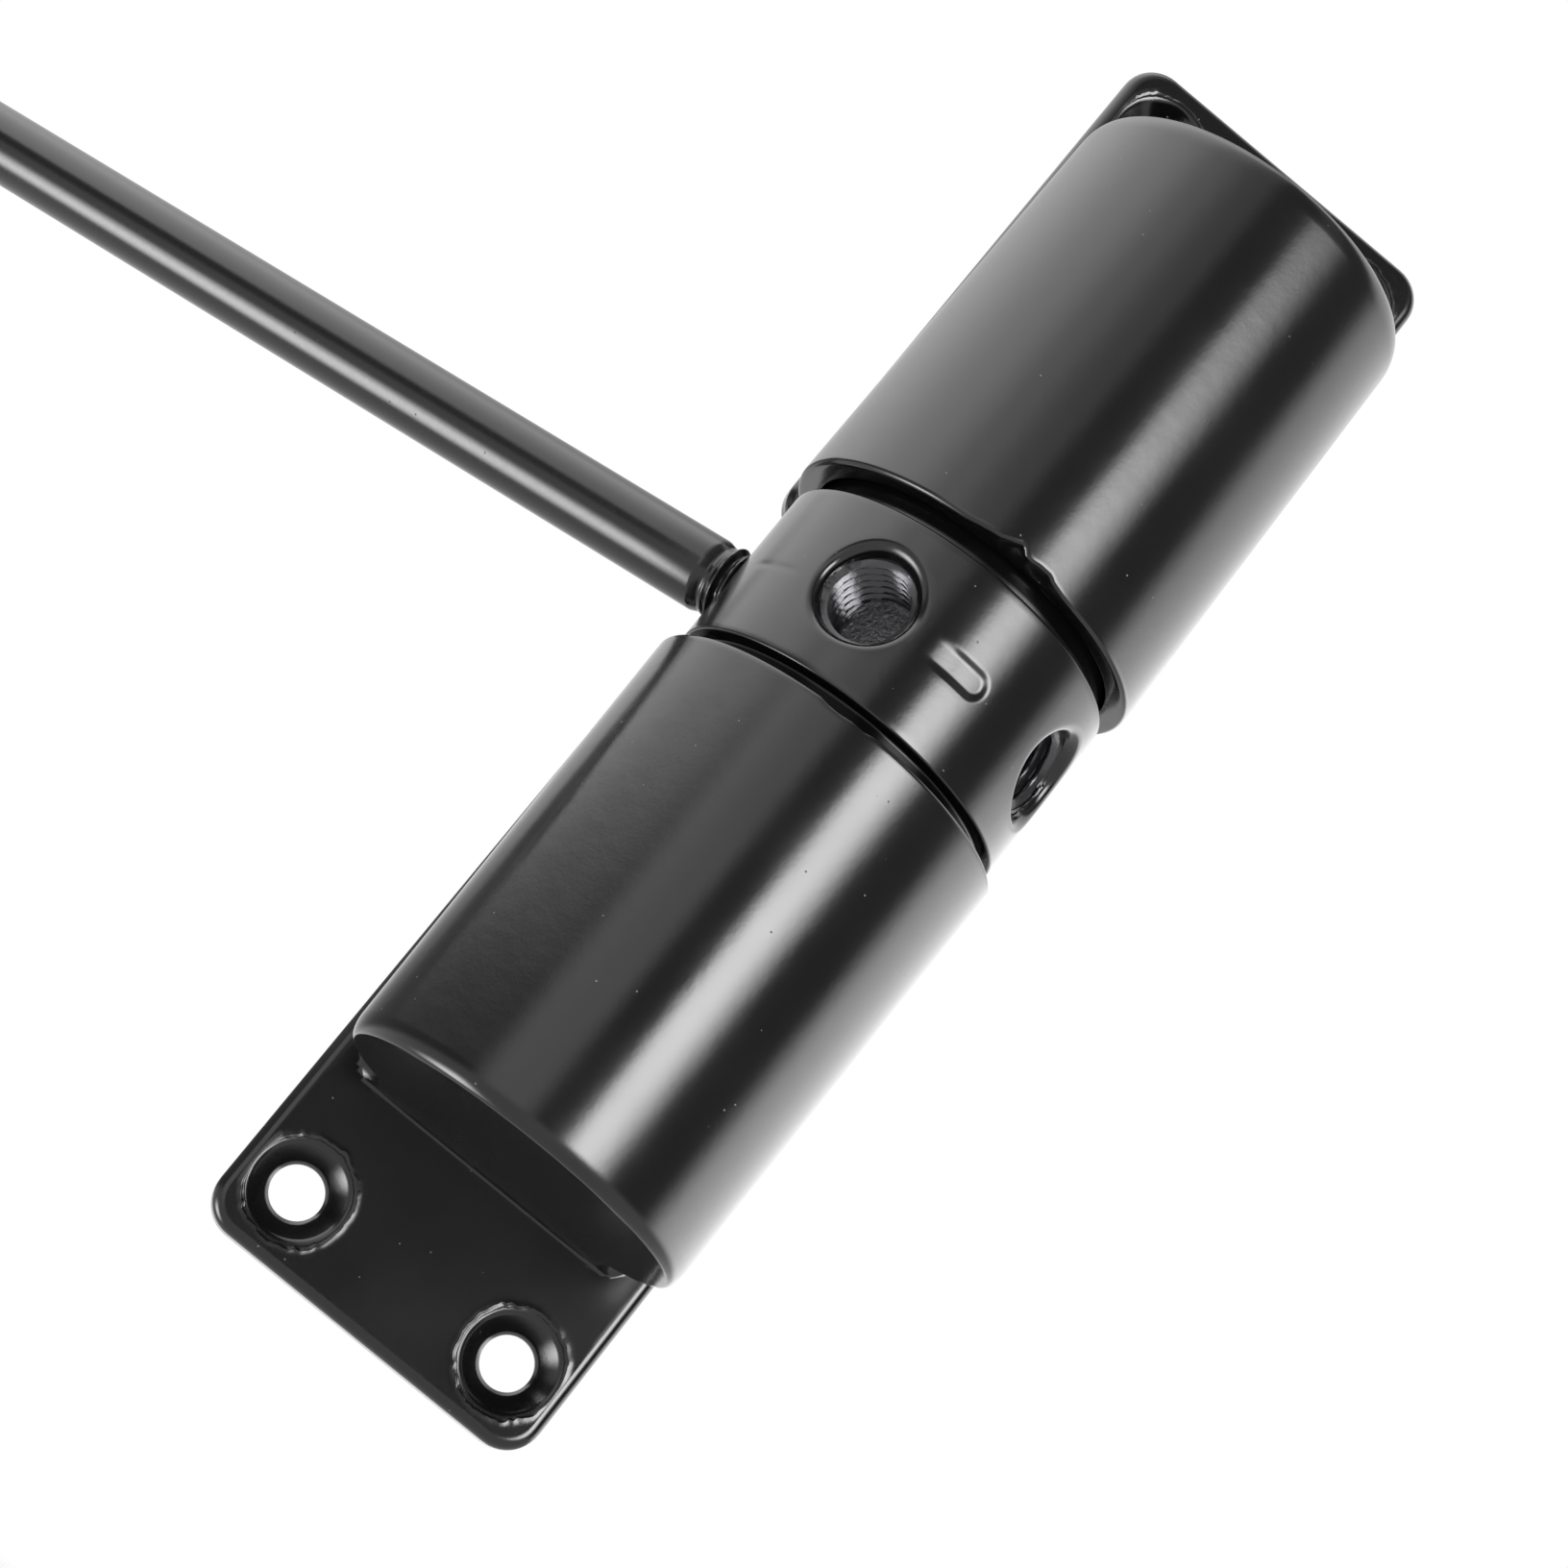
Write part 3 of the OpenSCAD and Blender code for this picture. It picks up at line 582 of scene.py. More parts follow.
def ring_sheets():
    """Rim as a grid of angle and height, finer round the mark, with a block left out for
    each hole; the holes; and the faces, collars and hub bore as one turned outline."""
    half_block = math.degrees(math.asin(HOLE_BLOCK / RING_R))
    first = HOLE_ANGLES[0] - 45
    mark_ends = [MARK_ANGLE - MARK_BEFORE, MARK_ANGLE + MARK_AFTER]
    marks = [first, first + 360, *mark_ends]
    marks += [a + d for a in HOLE_ANGLES for d in (-half_block, half_block)]
    coarse = grid_lines(sorted(marks), 2.4)
    fine = grid_lines(mark_ends, 0.4)
    outside = (coarse < fine[0] - 0.01) | (coarse > fine[-1] + 0.01)
    angles = np.sort(np.concatenate([coarse[outside], fine]))
    heights = grid_lines([RING_EDGE - FACE_LOW, -HOLE_BLOCK, MARK_LOW, MARK_HIGH,
                          HOLE_BLOCK, FACE_HIGH - RING_EDGE], 0.6)
    fine = grid_lines([MARK_LOW, MARK_HIGH], 0.1)
    outside = (heights < fine[0] - 0.01) | (heights > fine[-1] + 0.01)
    heights = np.sort(np.concatenate([heights[outside], fine]))
    angle, z = np.meshgrid(angles, heights)
    radius, turn = rim_radius(angle, z), np.radians(angle)
    rim = np.stack([radius * np.cos(turn), radius * np.sin(turn) + AXIS_Y, z], -1)
    blocks, holes = [], []
    for i, at in enumerate(HOLE_ANGLES):
        rows = tuple(int(np.argmin(abs(heights - d))) for d in (-HOLE_BLOCK, HOLE_BLOCK))
        cols = tuple(int(np.argmin(abs(angles - at - d))) for d in (-half_block, half_block))
        blocks.append((rows, cols))
        row, col = loop_of(rows, cols)
        holes.append(tapped_hole(at, angles[col], heights[row], 31 + 20 * i))
    upper, lower = np.array(half_ring(FACE_HIGH)), np.array(half_ring(FACE_LOW)) * [1, -1]
    outline = turned(np.concatenate([upper, lower[-2::-1]]), np.radians(angles[:-1]))
    return [(rim, False, blocks), *holes, (outline, True, [])]


def tapped_enamel():
    """The castings' enamel, thin and rough over the cut grey zinc in the tapped holes, with
    cutting marks of 0.4 mm. The holes' grained bottoms are painted lighter than their
    threads, as painted light falling down the holes. The collars' reflection is turned down,
    as a painted shade of the gaps they sit in."""
    material, tree, shader, mm, tone, rough, bump = black_enamel(
        "black_stoving_enamel_tapped_casting")
    centred = add(tree, "VectorMath", [mm, (0, -AXIS_Y, 0)], operation="ADD")
    across = add(tree, "VectorMath", [centred, (1, 1, 0)], operation="MULTIPLY")
    radius = add(tree, "VectorMath", [across], "Value", operation="LENGTH")
    height = add(tree, "SeparateXYZ", [mm], "Z")
    height = add(tree, "Math", [height], operation="ABSOLUTE")
    below_rim = add(tree, "MapRange", [radius, COLLAR_R, COLLAR_R + 0.2, 1, 0])
    between = add(tree, "MapRange", [height, RING_HALF - 0.8, RING_HALF - 0.3, 1, 0])
    inside = add(tree, "Math", [below_rim, between], operation="MULTIPLY")
    bottom = add(tree, "MapRange", [radius, HOLE_BOTTOM + 0.8, HOLE_BOTTOM + 1.3, 1, 0])
    worm = add(tree, "TexNoise", {"Vector": mm, "Scale": 2.6, "Detail": 4})
    where = add(tree, "Math", [bottom, 0.06], operation="ADD")
    depth = add(tree, "Math", [worm, where], operation="MULTIPLY")
    depth = add(tree, "Math", [depth, inside], operation="MULTIPLY")
    bump = add(tree, "Bump", {"Height": depth, "Distance": 0.3 * MM, "Normal": bump})
    # Bare cut zinc inside the holes, with painted light: the bottoms get a lighter grey than
    # the threads. This stands in for light that falls straight down the holes.
    cut = add(tree, "Mix", {"Factor": bottom, "A": "#434346", "B": "#8A8A8E"}, "Result",
              data_type="RGBA")
    tone = add(tree, "Mix", {"Factor": inside, "A": tone, "B": cut}, "Result",
               data_type="RGBA")
    duller = add(tree, "Math", [inside, 0.06], operation="MULTIPLY")
    rough = add(tree, "Math", [duller, rough], operation="ADD")
    bare = add(tree, "Math", [inside, 0.5], operation="MULTIPLY")
    # Painted shade: the collars reflect far less than the rest of the enamel. This stands in
    # for the shade deep in the gaps between the ring and the mouths.
    gap_shade_shine = add(tree, "MapRange", [height, FACE_LOW + 0.1, FACE_LOW + 0.4, 0.5, 0.05])
    feed(tree, shader, {"Base Color": tone, "Roughness": rough, "Metallic": bare,
                        "Specular IOR Level": gap_shade_shine, "Normal": bump})
    return material


arm_ring = solid("arm_ring_casting", ring_sheets(), 40)
dress(arm_ring, tapped_enamel(), "black_paint", "arm", "arm_ring")

# Arm rod. Drawn round steel, blackened under a thinner coat, with an M8 thread cut on
# the end that is screwed into the ring, a chamfered shoulder, and a riveted tenon.
ROD_R = 4.0
ROD_TIP, THREAD_END, SHOULDER = 9.5, 21.7, 22.8
CORE_R, CREST_R = 3.62, 4.15
FORK_BASE, FORK_T = 168.0, 2.5
TENON_R, HEAD_R, HEAD_H = 3.0, 3.8, 1.4
RUN_GAP = 0.05
ARM_X, ARM_Y = math.cos(math.radians(ARM_ANGLE)), math.sin(math.radians(ARM_ANGLE))


def on_arm(s, across, up):
    """Points given along the rod, across it, and up."""
    return np.stack([s * ARM_X - across * ARM_Y, s * ARM_Y + across * ARM_X + AXIS_Y,
                     up + 0 * s], -1)


def rod_sheet():
    """Rod as rows of circles along its axis, where the threaded rows follow the same
    thread as the hole with a little slack, and die out in a groove before the shoulder."""
    turn = np.linspace(0, 2 * np.pi, 97)[:-1]
    s = np.linspace(ROD_TIP + 0.6, THREAD_END, 111)[:, None]
    fade = smooth(ROD_TIP + 0.2, ROD_TIP + 1.6, s)
    fade = fade * (1 - smooth(THREAD_END - 0.7, THREAD_END, s))
    share = (thread(s, turn) - THREAD_IN) / (THREAD_OUT - THREAD_IN)
    cut = CORE_R + (CREST_R - CORE_R) * share * fade
    cut = cut + 0.02 * grain(s, turn * 4, 5)
    end = FORK_BASE + FORK_T
    shank = [(s_row, ROD_R) for s_row in np.linspace(SHOULDER + 0.3, FORK_BASE - 0.4, 25)]
    outline = [(THREAD_END + 0.2, CORE_R), (SHOULDER - 0.75, CORE_R + 0.1),
               (SHOULDER - 0.1, ROD_R - 0.08), (SHOULDER, ROD_R - 0.03)] + shank
    base = FORK_BASE - RUN_GAP
    outline += [(FORK_BASE - 0.25, ROD_R - 0.05), (base, ROD_R - 0.3), (base, TENON_R),
                (end + RUN_GAP, TENON_R), (end + RUN_GAP, HEAD_R),
                (end + 0.3, HEAD_R), (end + HEAD_H - 0.3, HEAD_R - 0.7),
                (end + HEAD_H, HEAD_R - 1.4), (end + HEAD_H, 0)]
    s_out, r_out = np.array(outline).T[:, :, None]
    s = np.vstack([[[ROD_TIP]], [[ROD_TIP]], s, s_out])
    radius = np.vstack([0 * turn, 2.6 + 0 * turn, cut, r_out + 0 * turn])
    return on_arm(s + 0 * radius, radius * np.cos(turn), radius * np.sin(turn)), True, []


def black_coat():
    """Black coat on drawn steel: about as glossy as the castings, with fine die lines half
    a millimetre apart along the rod and pips of dust."""
    material, tree, shader, mm = new_finish("black_coated_drawn_steel")
    along = add(tree, "Mapping", {"Vector": mm, "Rotation": (0, 0, math.radians(ARM_ANGLE)),
                                  "Scale": (60, 1, 1)}, vector_type="TEXTURE")
    lines = add(tree, "TexNoise", {"Vector": along, "Scale": 2, "Detail": 3})
    grit = add(tree, "TexNoise", {"Vector": mm, "Scale": 2.5, "Detail": 3})
    pips = add(tree, "TexVoronoi", {"Vector": mm, "Scale": 0.5}, "Distance")
    pip = add(tree, "MapRange", [pips, 0.02, 0.05, 1, 0])
    rough = add(tree, "MapRange", [grit, 0.3, 0.7, 0.15, 0.21])
    bump = add(tree, "Bump", {"Height": lines, "Distance": 0.004 * MM})
    bump = add(tree, "Bump", {"Height": grit, "Distance": 0.002 * MM, "Normal": bump})
    bump = add(tree, "Bump", {"Height": pip, "Distance": 0.03 * MM, "Normal": bump})
    feed(tree, shader, {"Base Color": "#131314", "Roughness": rough, "IOR": 1.5,
                        "Normal": bump})
    return material


arm_rod = solid("arm_rod_screwed", [rod_sheet()], 40)
dress(arm_rod, black_coat(), "black_rod", "arm", "arm_rod")

# Torsion springs. Oiled spring wire wound hot into eight and a half turns, with a bend
# at each end into a straight leg: one leg stands in the ring, the other in the closed
# end, so the coil is twisted as the arm swings.
WIRE_R, COIL_R, TURNS = 1.8, 13.4, 8.5
LEG_BEND, LEG_ANGLE = 2.7, ARM_ANGLE + 45
LEG_START, LEG_STOP = RING_HALF - 5.0, INNER_END_Z + 3.7
COIL_START, COIL_STOP = RING_HALF + LEG_BEND + 0.3, INNER_END_Z - LEG_BEND - 0.3


def spring_sheet(side):
    """Round tube along a path on the coil's cylinder, given as angle and height: a leg, a
    quarter bend into the helix, the turns, and a bend into the other leg."""
    pitch = (COIL_STOP - COIL_START) / TURNS
    lead = math.atan2(pitch, 2 * math.pi * COIL_R)
    turn = math.pi / 2 - lead
    reach = LEG_BEND * (1 - math.cos(turn)) / COIL_R
    rise = LEG_BEND * math.sin(turn)
    slope = pitch / (2 * math.pi)
    z_a, z_b = COIL_START + slope * reach, COIL_STOP - slope * reach
    bend = np.linspace(0, turn, 13)[:-1]
    helix = np.linspace(reach, 2 * np.pi * TURNS - reach, int(60 * TURNS))
    share = (helix - reach) / (helix[-1] - reach)
    leg = np.linspace(LEG_START, z_a - rise, 5)[:-1]
    sweep = np.concatenate([0 * leg, LEG_BEND * (1 - np.cos(bend)) / COIL_R, helix])
    high = np.concatenate([leg, z_a - rise + LEG_BEND * np.sin(bend),
                           z_a + (z_b - z_a) * share])
    back = LEG_BEND * (1 - np.cos(bend[::-1])) / COIL_R
    last = np.linspace(z_b + rise, LEG_STOP, 5)[1:]
    sweep = np.concatenate([sweep, 2 * np.pi * TURNS - back, 2 * np.pi * TURNS + 0 * last])
    high = np.concatenate([high, z_b + rise - LEG_BEND * np.sin(bend[::-1]), last])
    around = math.radians(LEG_ANGLE) - sweep
    path = np.stack([COIL_R * np.cos(around), COIL_R * np.sin(around), high], -1)
    out = np.stack([np.cos(around), np.sin(around), 0 * around], -1)
    along = np.gradient(path, axis=0)
    along -= out * (along * out).sum(-1, keepdims=True)
    along /= np.linalg.norm(along, axis=-1, keepdims=True)
    across = np.cross(along, out)
    ring = np.linspace(0, 2 * np.pi, 25)[:-1]
    index = np.r_[0, 0, np.arange(len(path)), [len(path) - 1] * 2]
    scale = np.r_[0, 0.8, np.ones(len(path)), 0.8, 0][:, None, None]
    tube = (out[index][:, None] * np.cos(ring)[:, None]
            + across[index][:, None] * np.sin(ring)[:, None]) * WIRE_R * scale
    points = path[index][:, None] + tube
    return (points + [0, AXIS_Y, 0]) * [1, 1, side], True, []


def spring_steel():
    """Oiled spring wire: dark grey steel with a soft sheen of oil in patches of 3 mm."""
    material, tree, shader, mm = new_finish("oiled_spring_steel")
    patch = add(tree, "TexNoise", {"Vector": mm, "Scale": 0.35, "Detail": 4})
    tone = add(tree, "Mix", {"Factor": patch, "A": "#55575B", "B": "#8A8C90"}, "Result",
               data_type="RGBA")
    rough = add(tree, "MapRange", [patch, 0.3, 0.7, 0.25, 0.45])
    bump = add(tree, "Bump", {"Height": patch, "Distance": 0.01 * MM})
    feed(tree, shader, {"Base Color": tone, "Roughness": rough, "Metallic": 1.0,
                        "Normal": bump})
    return material


oiled_steel = spring_steel()
for name, side in (("upper_spring", 1), ("lower_spring", -1)):
    spring = solid(name + "_wire", [spring_sheet(side)])
    dress(spring, oiled_steel, "spring_steel", None, name)
    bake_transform(spring)

# Shaft and bearings. A ground steel shaft is pressed into both closed ends. The ring
# runs on it on two sintered bronze bushes, between nylon thrust washers that are held
# off the closed ends by steel sleeves.
SHAFT_HALF = INNER_END_Z + SHAFT_SEAT - 2 * RUN_GAP
BUSH_IN, BUSH_OUT, BUSH_L = SHAFT_R + RUN_GAP, 6.0, 7.5
WASHER_Z, WASHER_T, WASHER_R = RING_HALF + RUN_GAP, 1.2, 8.5
SLEEVE_Z, SLEEVE_IN, SLEEVE_OUT = WASHER_Z + WASHER_T + RUN_GAP, 4.1, 6.0


def tube_outline(inner, outer, low, high, ease=0.25):
    """Closed outline of a tube's wall with eased corners."""
    middle = (inner + outer) / 2
    return eased([(middle, low), (outer, low), (outer, high), (inner, high), (inner, low),
                  (middle, low)], ease)


def plated_steel():
    """Bright zinc plate on steel: cool grey with a soft sheen and a fine mottle of 1 mm."""
    material, tree, shader, mm = new_finish("bright_zinc_plated_steel")
    mottle = add(tree, "TexNoise", {"Vector": mm, "Scale": 0.9, "Detail": 5})
    tone = add(tree, "Mix", {"Factor": mottle, "A": "#AEB1B6", "B": "#CDD0D2"}, "Result",
               data_type="RGBA")
    rough = add(tree, "MapRange", [mottle, 0.3, 0.7, 0.24, 0.38])
    bump = add(tree, "Bump", {"Height": mottle, "Distance": 0.006 * MM})
    feed(tree, shader, {"Base Color": tone, "Roughness": rough, "Metallic": 1.0,
                        "Normal": bump})
    return material


def sintered_bronze():
    """Pressed and sintered bronze: dull gold, with open pores every 0.25 mm."""
    material, tree, shader, mm = new_finish("sintered_bronze")
    pores = add(tree, "TexVoronoi", {"Vector": mm, "Scale": 4}, "Distance")
    pit = add(tree, "MapRange", [pores, 0.1, 0.35, 0, 1])
    bump = add(tree, "Bump", {"Height": pit, "Distance": 0.02 * MM})
    feed(tree, shader, {"Base Color": "#B08A4E", "Roughness": 0.45, "Metallic": 1.0,
                        "Normal": bump})
    return material


def natural_nylon():
    """Turned natural nylon: creamy white, slightly translucent, with 2 mm clouds."""
    material, tree, shader, mm = new_finish("natural_nylon")
    cloud = add(tree, "TexNoise", {"Vector": mm, "Scale": 0.5, "Detail": 4})
    tone = add(tree, "Mix", {"Factor": cloud, "A": "#DEDACB", "B": "#E9E6DA"}, "Result",
               data_type="RGBA")
    bump = add(tree, "Bump", {"Height": cloud, "Distance": 0.02 * MM})
    feed(tree, shader, {"Base Color": tone, "Roughness": 0.42, "IOR": 1.53,
                        "Subsurface Weight": 0.15, "Subsurface Scale": 1.5 * MM,
                        "Normal": bump})
    return material


steel, bronze, nylon = plated_steel(), sintered_bronze(), natural_nylon()
ROUND = np.linspace(0, 2 * np.pi, 97)[:-1]


def turned_piece(name, outline, material, slot, body, node_name):
    """A piece turned about the closer's axis."""
    piece = solid(name, [(turned(outline, ROUND), True, [])], 50)
    dress(piece, material, slot, body, node_name)


shaft = eased([(0, -SHAFT_HALF), (SHAFT_R, -SHAFT_HALF), (SHAFT_R, SHAFT_HALF),
               (0, SHAFT_HALF)], 0.5)
turned_piece("centre_shaft_ground", shaft, steel, "bright_steel", "housing", "centre_shaft")
for name, side in (("upper", 1), ("lower", -1)):
    bush = tube_outline(BUSH_IN, BUSH_OUT, side * (RING_HALF - BUSH_L), side * RING_HALF)
    turned_piece(name + "_bush_bronze", bush, bronze, "bronze", "arm", name + "_bush")
    washer = tube_outline(SLEEVE_IN, WASHER_R, side * WASHER_Z, side * (WASHER_Z + WASHER_T))
    turned_piece(name + "_thrust_washer_nylon", washer, nylon, "nylon", "housing",
                 name + "_thrust_washer")
    sleeve = tube_outline(SLEEVE_IN, SLEEVE_OUT, side * SLEEVE_Z,
                          side * (INNER_END_Z - RUN_GAP))
    turned_piece(name + "_spacer_sleeve_steel", sleeve, steel, "bright_steel", "housing",
                 name + "_spacer_sleeve")

# Roller end. A fork bent from steel strip is riveted to the rod's tenon. The nylon
# roller turns between two washers on an axle whose ends are riveted over.
ARM_L = 185.0
FORK_W, FORK_BEND, FORK_HALF, CHEEK = 14.0, 1.5, 6.2, 20.0
FORK_EDGE, FORK_STEP, FORK_REACH = 0.35, 0.8, 3.9
HOLE_GAP, HOLE_EDGE = 0.02, 0.2
ROLLER_R, ROLLER_HALF, ROLLER_RECESS = 10.99, 5.0, 1.2
HUB_ROOM, TREAD, ROLLER_EASE = 0.6, 1.8, 0.6
AXLE_R, RIVET_R, RIVET_H = 2.5, 4.2, 1.8
ROLLER_WASHER_R, ROLLER_WASHER_T = 5.0, 1.0


def plain_hole(radius):
    """Profile of a punched hole with slightly broken edges."""
    def profile(turn, room):
        rows = np.array([(radius + HOLE_EDGE, FORK_T), (radius, FORK_T - HOLE_EDGE),
                         (radius, HOLE_EDGE), (radius + HOLE_EDGE, 0)])
        rows = rows[:, :, None] + 0 * turn
        return rows[:, 0], rows[:, 1]
    return profile


def fork_sheets():
    """Flat strip with round ends and three holes, bent twice into a fork: a point goes
    along the strip's middle line, round both bends, and out by its height."""
    bend_r = FORK_BEND + FORK_T / 2
    base = 2 * (FORK_HALF + FORK_T / 2 - bend_r)
    quarter = math.pi / 2 * bend_r
    total = 2 * (CHEEK + quarter) + base
    w = FORK_W / 2
    axle_hole, tenon_hole = plain_hole(AXLE_R + HOLE_GAP), plain_hole(TENON_R + HOLE_GAP)
    holes = [(0, w, axle_hole), (0, total - w, axle_hole), (0, total / 2, tenon_hole)]
    flat = drilled_plate((-w, w, 0, total), w - 0.01, FORK_T, FORK_EDGE, FORK_EDGE, holes,
                         FORK_STEP, FORK_REACH)
    sheets = []
    for points, wrap, cut in flat:
        v = points[..., 1]
        first = np.clip((v - CHEEK) / bend_r, 0, math.pi / 2)
        second = np.clip((v - CHEEK - quarter - base) / bend_r, 0, math.pi / 2)
        run = np.clip(v - CHEEK - quarter, 0, base)
        out = points[..., 2] - FORK_T / 2
        s = (ARM_L + w - np.minimum(v, CHEEK) - bend_r * np.sin(first)
             + bend_r * (1 - np.cos(second)) + np.maximum(v - total + CHEEK, 0)
             - out * np.sin(first + second))
        up = (FORK_HALF + FORK_T / 2 - bend_r * (1 - np.cos(first)) - run
              - bend_r * np.sin(second) + out * np.cos(first + second))
        sheets.append((on_arm(s, points[..., 0], up), wrap, cut))
    return sheets


def on_axle(outline):
    """Sheet of an outline of (radius, height) turned about the roller's axis."""
    radius, height = np.asarray(outline).T[:, :, None]
    return on_arm(ARM_L + radius * np.cos(ROUND), radius * np.sin(ROUND), height), True, []


fork = solid("roller_fork_bent", fork_sheets(), 50)
dress(fork, steel, "bright_steel", "arm", "roller_fork")

groove_in, groove_out = ROLLER_WASHER_R + HUB_ROOM, ROLLER_R - TREAD
face = ROLLER_HALF - ROLLER_RECESS
bore = AXLE_R + RUN_GAP
half_roller = [(bore, 0), (bore, ROLLER_HALF), (groove_in, ROLLER_HALF), (groove_in, face),
               (groove_out, face), (groove_out, ROLLER_HALF), (ROLLER_R, ROLLER_HALF),
               (ROLLER_R, 0)]
half_roller = np.array(eased(half_roller, ROLLER_EASE))
outline = np.concatenate([half_roller, (half_roller * [1, -1])[-2::-1]])
roller = solid("roller_nylon", [on_axle(outline)])
dress(roller, nylon, "nylon", "roller_wheel", "roller")

fork_out = FORK_HALF + FORK_T
dome = [(RIVET_R * math.cos(a), fork_out + RIVET_H * math.sin(a)) for a in arc(0, 90, 8)]
half_axle = [(AXLE_R, 0), (AXLE_R, fork_out), (RIVET_R - 0.2, fork_out)] + dome[:-1]
half_axle = np.array(half_axle + [(0, fork_out + RIVET_H)])
outline = np.concatenate([(half_axle * [1, -1])[::-1], half_axle[1:]])
axle = solid("roller_axle_riveted", [on_axle(outline)], 50)
dress(axle, steel, "bright_steel", "arm", "roller_axle")

for name, side in (("upper", 1), ("lower", -1)):
    start = side * (ROLLER_HALF + 2 * RUN_GAP)
    washer = tube_outline(AXLE_R + 2 * RUN_GAP, ROLLER_WASHER_R, start,
                          start + side * ROLLER_WASHER_T)
    piece = solid(name + "_roller_washer_steel", [on_axle(washer)], 50)
    dress(piece, steel, "bright_steel", "arm", name + "_roller_washer")

# Studio. A white surround and a pale floor below, with a narrow strip softbox to the
# right of the camera, a large soft panel high on the left, a bright sheet behind on the
# right and a low box on the left. The surround is darker between them.
FLOOR_Z, FLOOR_HALF = -125.0, 2500.0
FLOOR_FADE, FLOOR_GONE = 300, 700
EVEN, GLOW = 0.8, 0.25
# Each sheet, softbox or dark card: where it starts, is full, stays full and ends, in
# degrees round the horizon from straight behind to the right; the elevations between
# which it changes; its brightness below and above them; and how far it leans
STRIP = ((131, 153, 160, 170), (14, 34), 16.2, 0.3, 0.35)
SHEET_RIGHT = ((-45, 80, 82, 104), (13, 26), 3.7, 2.0, 0)
PANEL_LEFT = ((-160, -104, -84, 5), (8, 17), 0.0, 2.75, 0)
CARD_FRONT = ((-176, -164, -142, -126), (14, 26), 1.3, 0.6, 0)
CARD_EDGE = ((-60, -51, -46, -40), (14, 21), -1.3, 0.0, 0)
BOX_LOW = ((-132, -110, -97, -68), (-46, -26), 12.0, 0.0, 0)
# Elevations between which the low box begins, and those between which the ground below
# gives way to the sheets, with the ground's brightness
BOX_LOW_START = -72, -50
GROUND, GROUND_END = 1.0, (-14, -2)
S_CURVE = {"interpolation_type": "SMOOTHSTEP"}


def lit_from(tree, turn, rise, source):
    """Brightness of one sheet, softbox or card in the direction of turn and rise: one
    S-curve up and one down round the horizon, times one with the elevation."""
    (start, full, stay, end), (low, high), below, above, lean = source
    over = add(tree, "Math", [rise, low], operation="SUBTRACT")
    over = add(tree, "Math", [over, 0], operation="MAXIMUM")
    shift = add(tree, "Math", [over, lean], operation="MULTIPLY")
    turn = add(tree, "Math", [turn, shift], operation="ADD")
    eased_in = add(tree, "MapRange", [turn, start, full, 0, 1], **S_CURVE)
    eased_out = add(tree, "MapRange", [turn, stay, end, 1, 0], **S_CURVE)
    level = add(tree, "MapRange", [rise, low, high, below, above], **S_CURVE)
    lit = add(tree, "Math", [eased_in, eased_out], operation="MULTIPLY")
    return add(tree, "Math", [lit, level], operation="MULTIPLY")


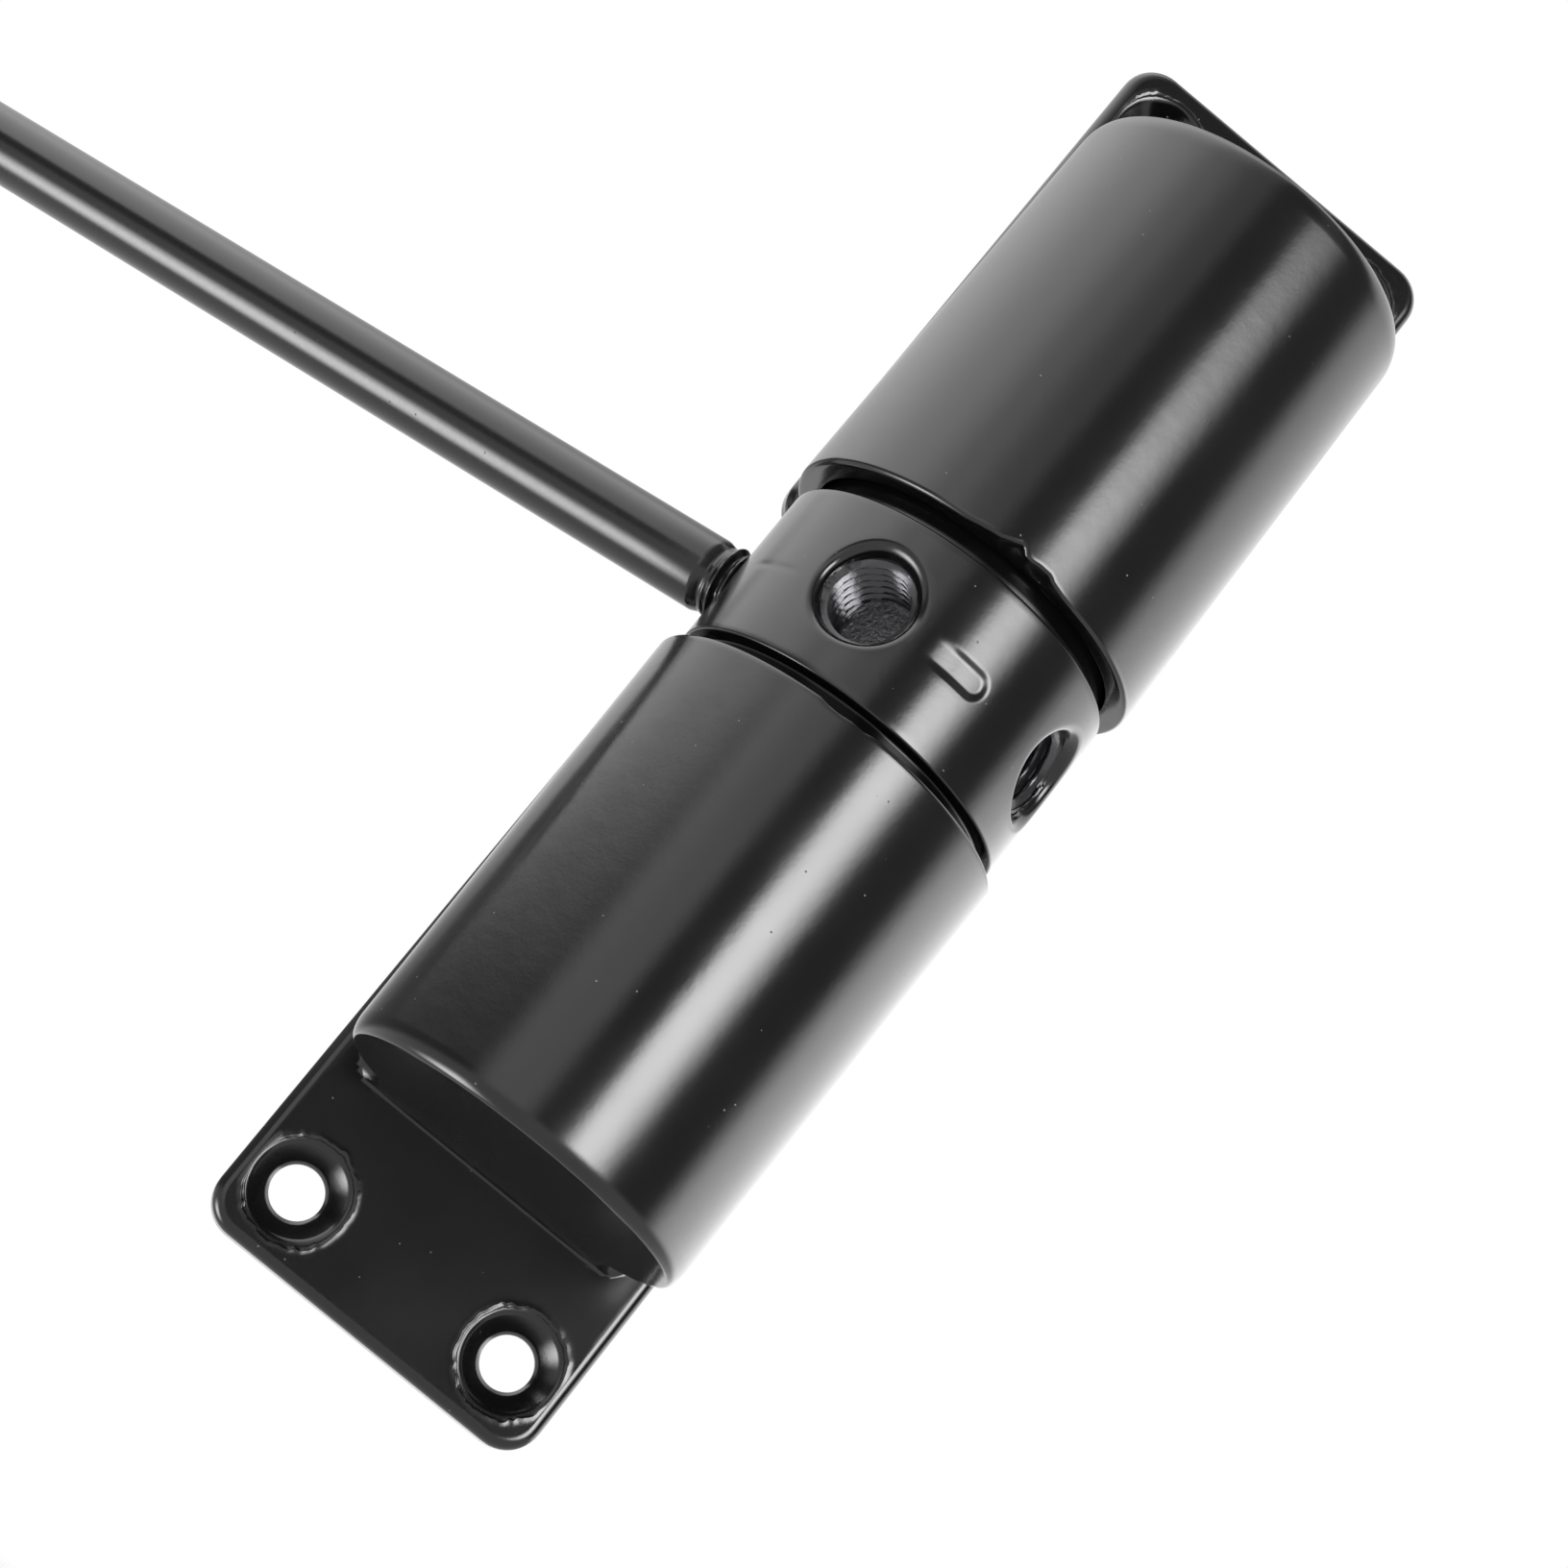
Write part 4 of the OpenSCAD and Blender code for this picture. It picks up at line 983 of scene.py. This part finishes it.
def studio():
    """World: plain white to the camera, an even soft grey as light on dull surfaces, and
    the softboxes as what glossy surfaces mirror."""
    world = bpy.data.worlds.new("studio")
    bpy.context.scene.world = world
    world.use_nodes = True
    tree = world.node_tree
    tree.nodes.remove(tree.nodes["Background"])
    way = add(tree, "TexCoord", [], "Generated")
    right, behind, up = [add(tree, "SeparateXYZ", [way], axis) for axis in "XYZ"]
    turn = add(tree, "Math", [right, behind], operation="ARCTAN2")
    turn = add(tree, "Math", [turn, 180 / math.pi], operation="MULTIPLY")
    rise = add(tree, "Math", [up], operation="ARCSINE")
    rise = add(tree, "Math", [rise, 180 / math.pi], operation="MULTIPLY")
    total = GLOW
    for source in (STRIP, SHEET_RIGHT, PANEL_LEFT, CARD_FRONT, CARD_EDGE):
        lit = lit_from(tree, turn, rise, source)
        total = add(tree, "Math", [lit, total], operation="ADD")
    total = add(tree, "Math", [total, GLOW], operation="MAXIMUM")
    sky = add(tree, "MapRange", [rise, *GROUND_END, 0, 1], **S_CURVE)
    total = add(tree, "Math", [total, GROUND], operation="SUBTRACT")
    total = add(tree, "Math", [total, sky], operation="MULTIPLY")
    total = add(tree, "Math", [total, GROUND], operation="ADD")
    begun = add(tree, "MapRange", [rise, *BOX_LOW_START, 0, 1], **S_CURVE)
    low = lit_from(tree, turn, rise, BOX_LOW)
    low = add(tree, "Math", [low, begun], operation="MULTIPLY")
    total = add(tree, "Math", [total, low], operation="ADD")
    mirrored = add(tree, "Background", ["#FFFFFF", total])
    even = add(tree, "Background", ["#FFFFFF", EVEN])
    white = add(tree, "Background", ["#FFFFFF", 1.0])
    to_camera, glossy, through = [add(tree, "LightPath", [], "Is " + kind + " Ray")
                                  for kind in ("Camera", "Glossy", "Transmission")]
    shiny = add(tree, "Math", [glossy, through], operation="MAXIMUM")
    lit = add(tree, "MixShader", [shiny, even, mirrored])
    seen = add(tree, "MixShader", [to_camera, lit, white])
    feed(tree, tree.nodes["World Output"], [seen])


def pale_floor():
    """Floor: matt off-white board that keeps the closer's shadow near it, fades into the
    white surround further out, and lets mirror rays through to the surround."""
    material, tree, shader, mm = new_finish("matt_white_board")
    feed(tree, shader, {"Base Color": "#F2F2F0", "Roughness": 0.8})
    distance = add(tree, "VectorMath", [mm], "Value", operation="LENGTH")
    far = add(tree, "MapRange", [distance, FLOOR_FADE, FLOOR_GONE, 0, 1])
    glow = add(tree, "Emission", ["#FFFFFF", 1.0])
    board = add(tree, "MixShader", [far, shader.outputs[0], glow])
    glossy = add(tree, "LightPath", [], "Is Glossy Ray")
    clear = add(tree, "BsdfTransparent", [])
    seen = add(tree, "MixShader", [glossy, board, clear])
    feed(tree, tree.nodes["Material Output"], [seen])
    return material


studio()
corners = np.array([(-1, -1), (1, -1), (1, 1), (-1, 1)]) * FLOOR_HALF
corners = np.column_stack([corners, np.full(4, FLOOR_Z)]) * MM
floor_mesh = bpy.data.meshes.new("floor")
floor_mesh.from_pydata(corners, [], [(0, 1, 2, 3)])
floor = bpy.data.objects.new("floor", floor_mesh)
floor_mesh.materials.append(pale_floor())
bpy.context.scene.collection.objects.link(floor)

softbox = bpy.data.lights.new("softbox", "AREA")
softbox.size, softbox.energy = 0.5, 6.0
lamp = bpy.data.objects.new("softbox", softbox)
lamp.location = (-0.5, -0.7, 0.9)
lamp.rotation_euler = (math.radians(42), 0, math.radians(-36))
lamp.visible_glossy = False
bpy.context.scene.collection.objects.link(lamp)
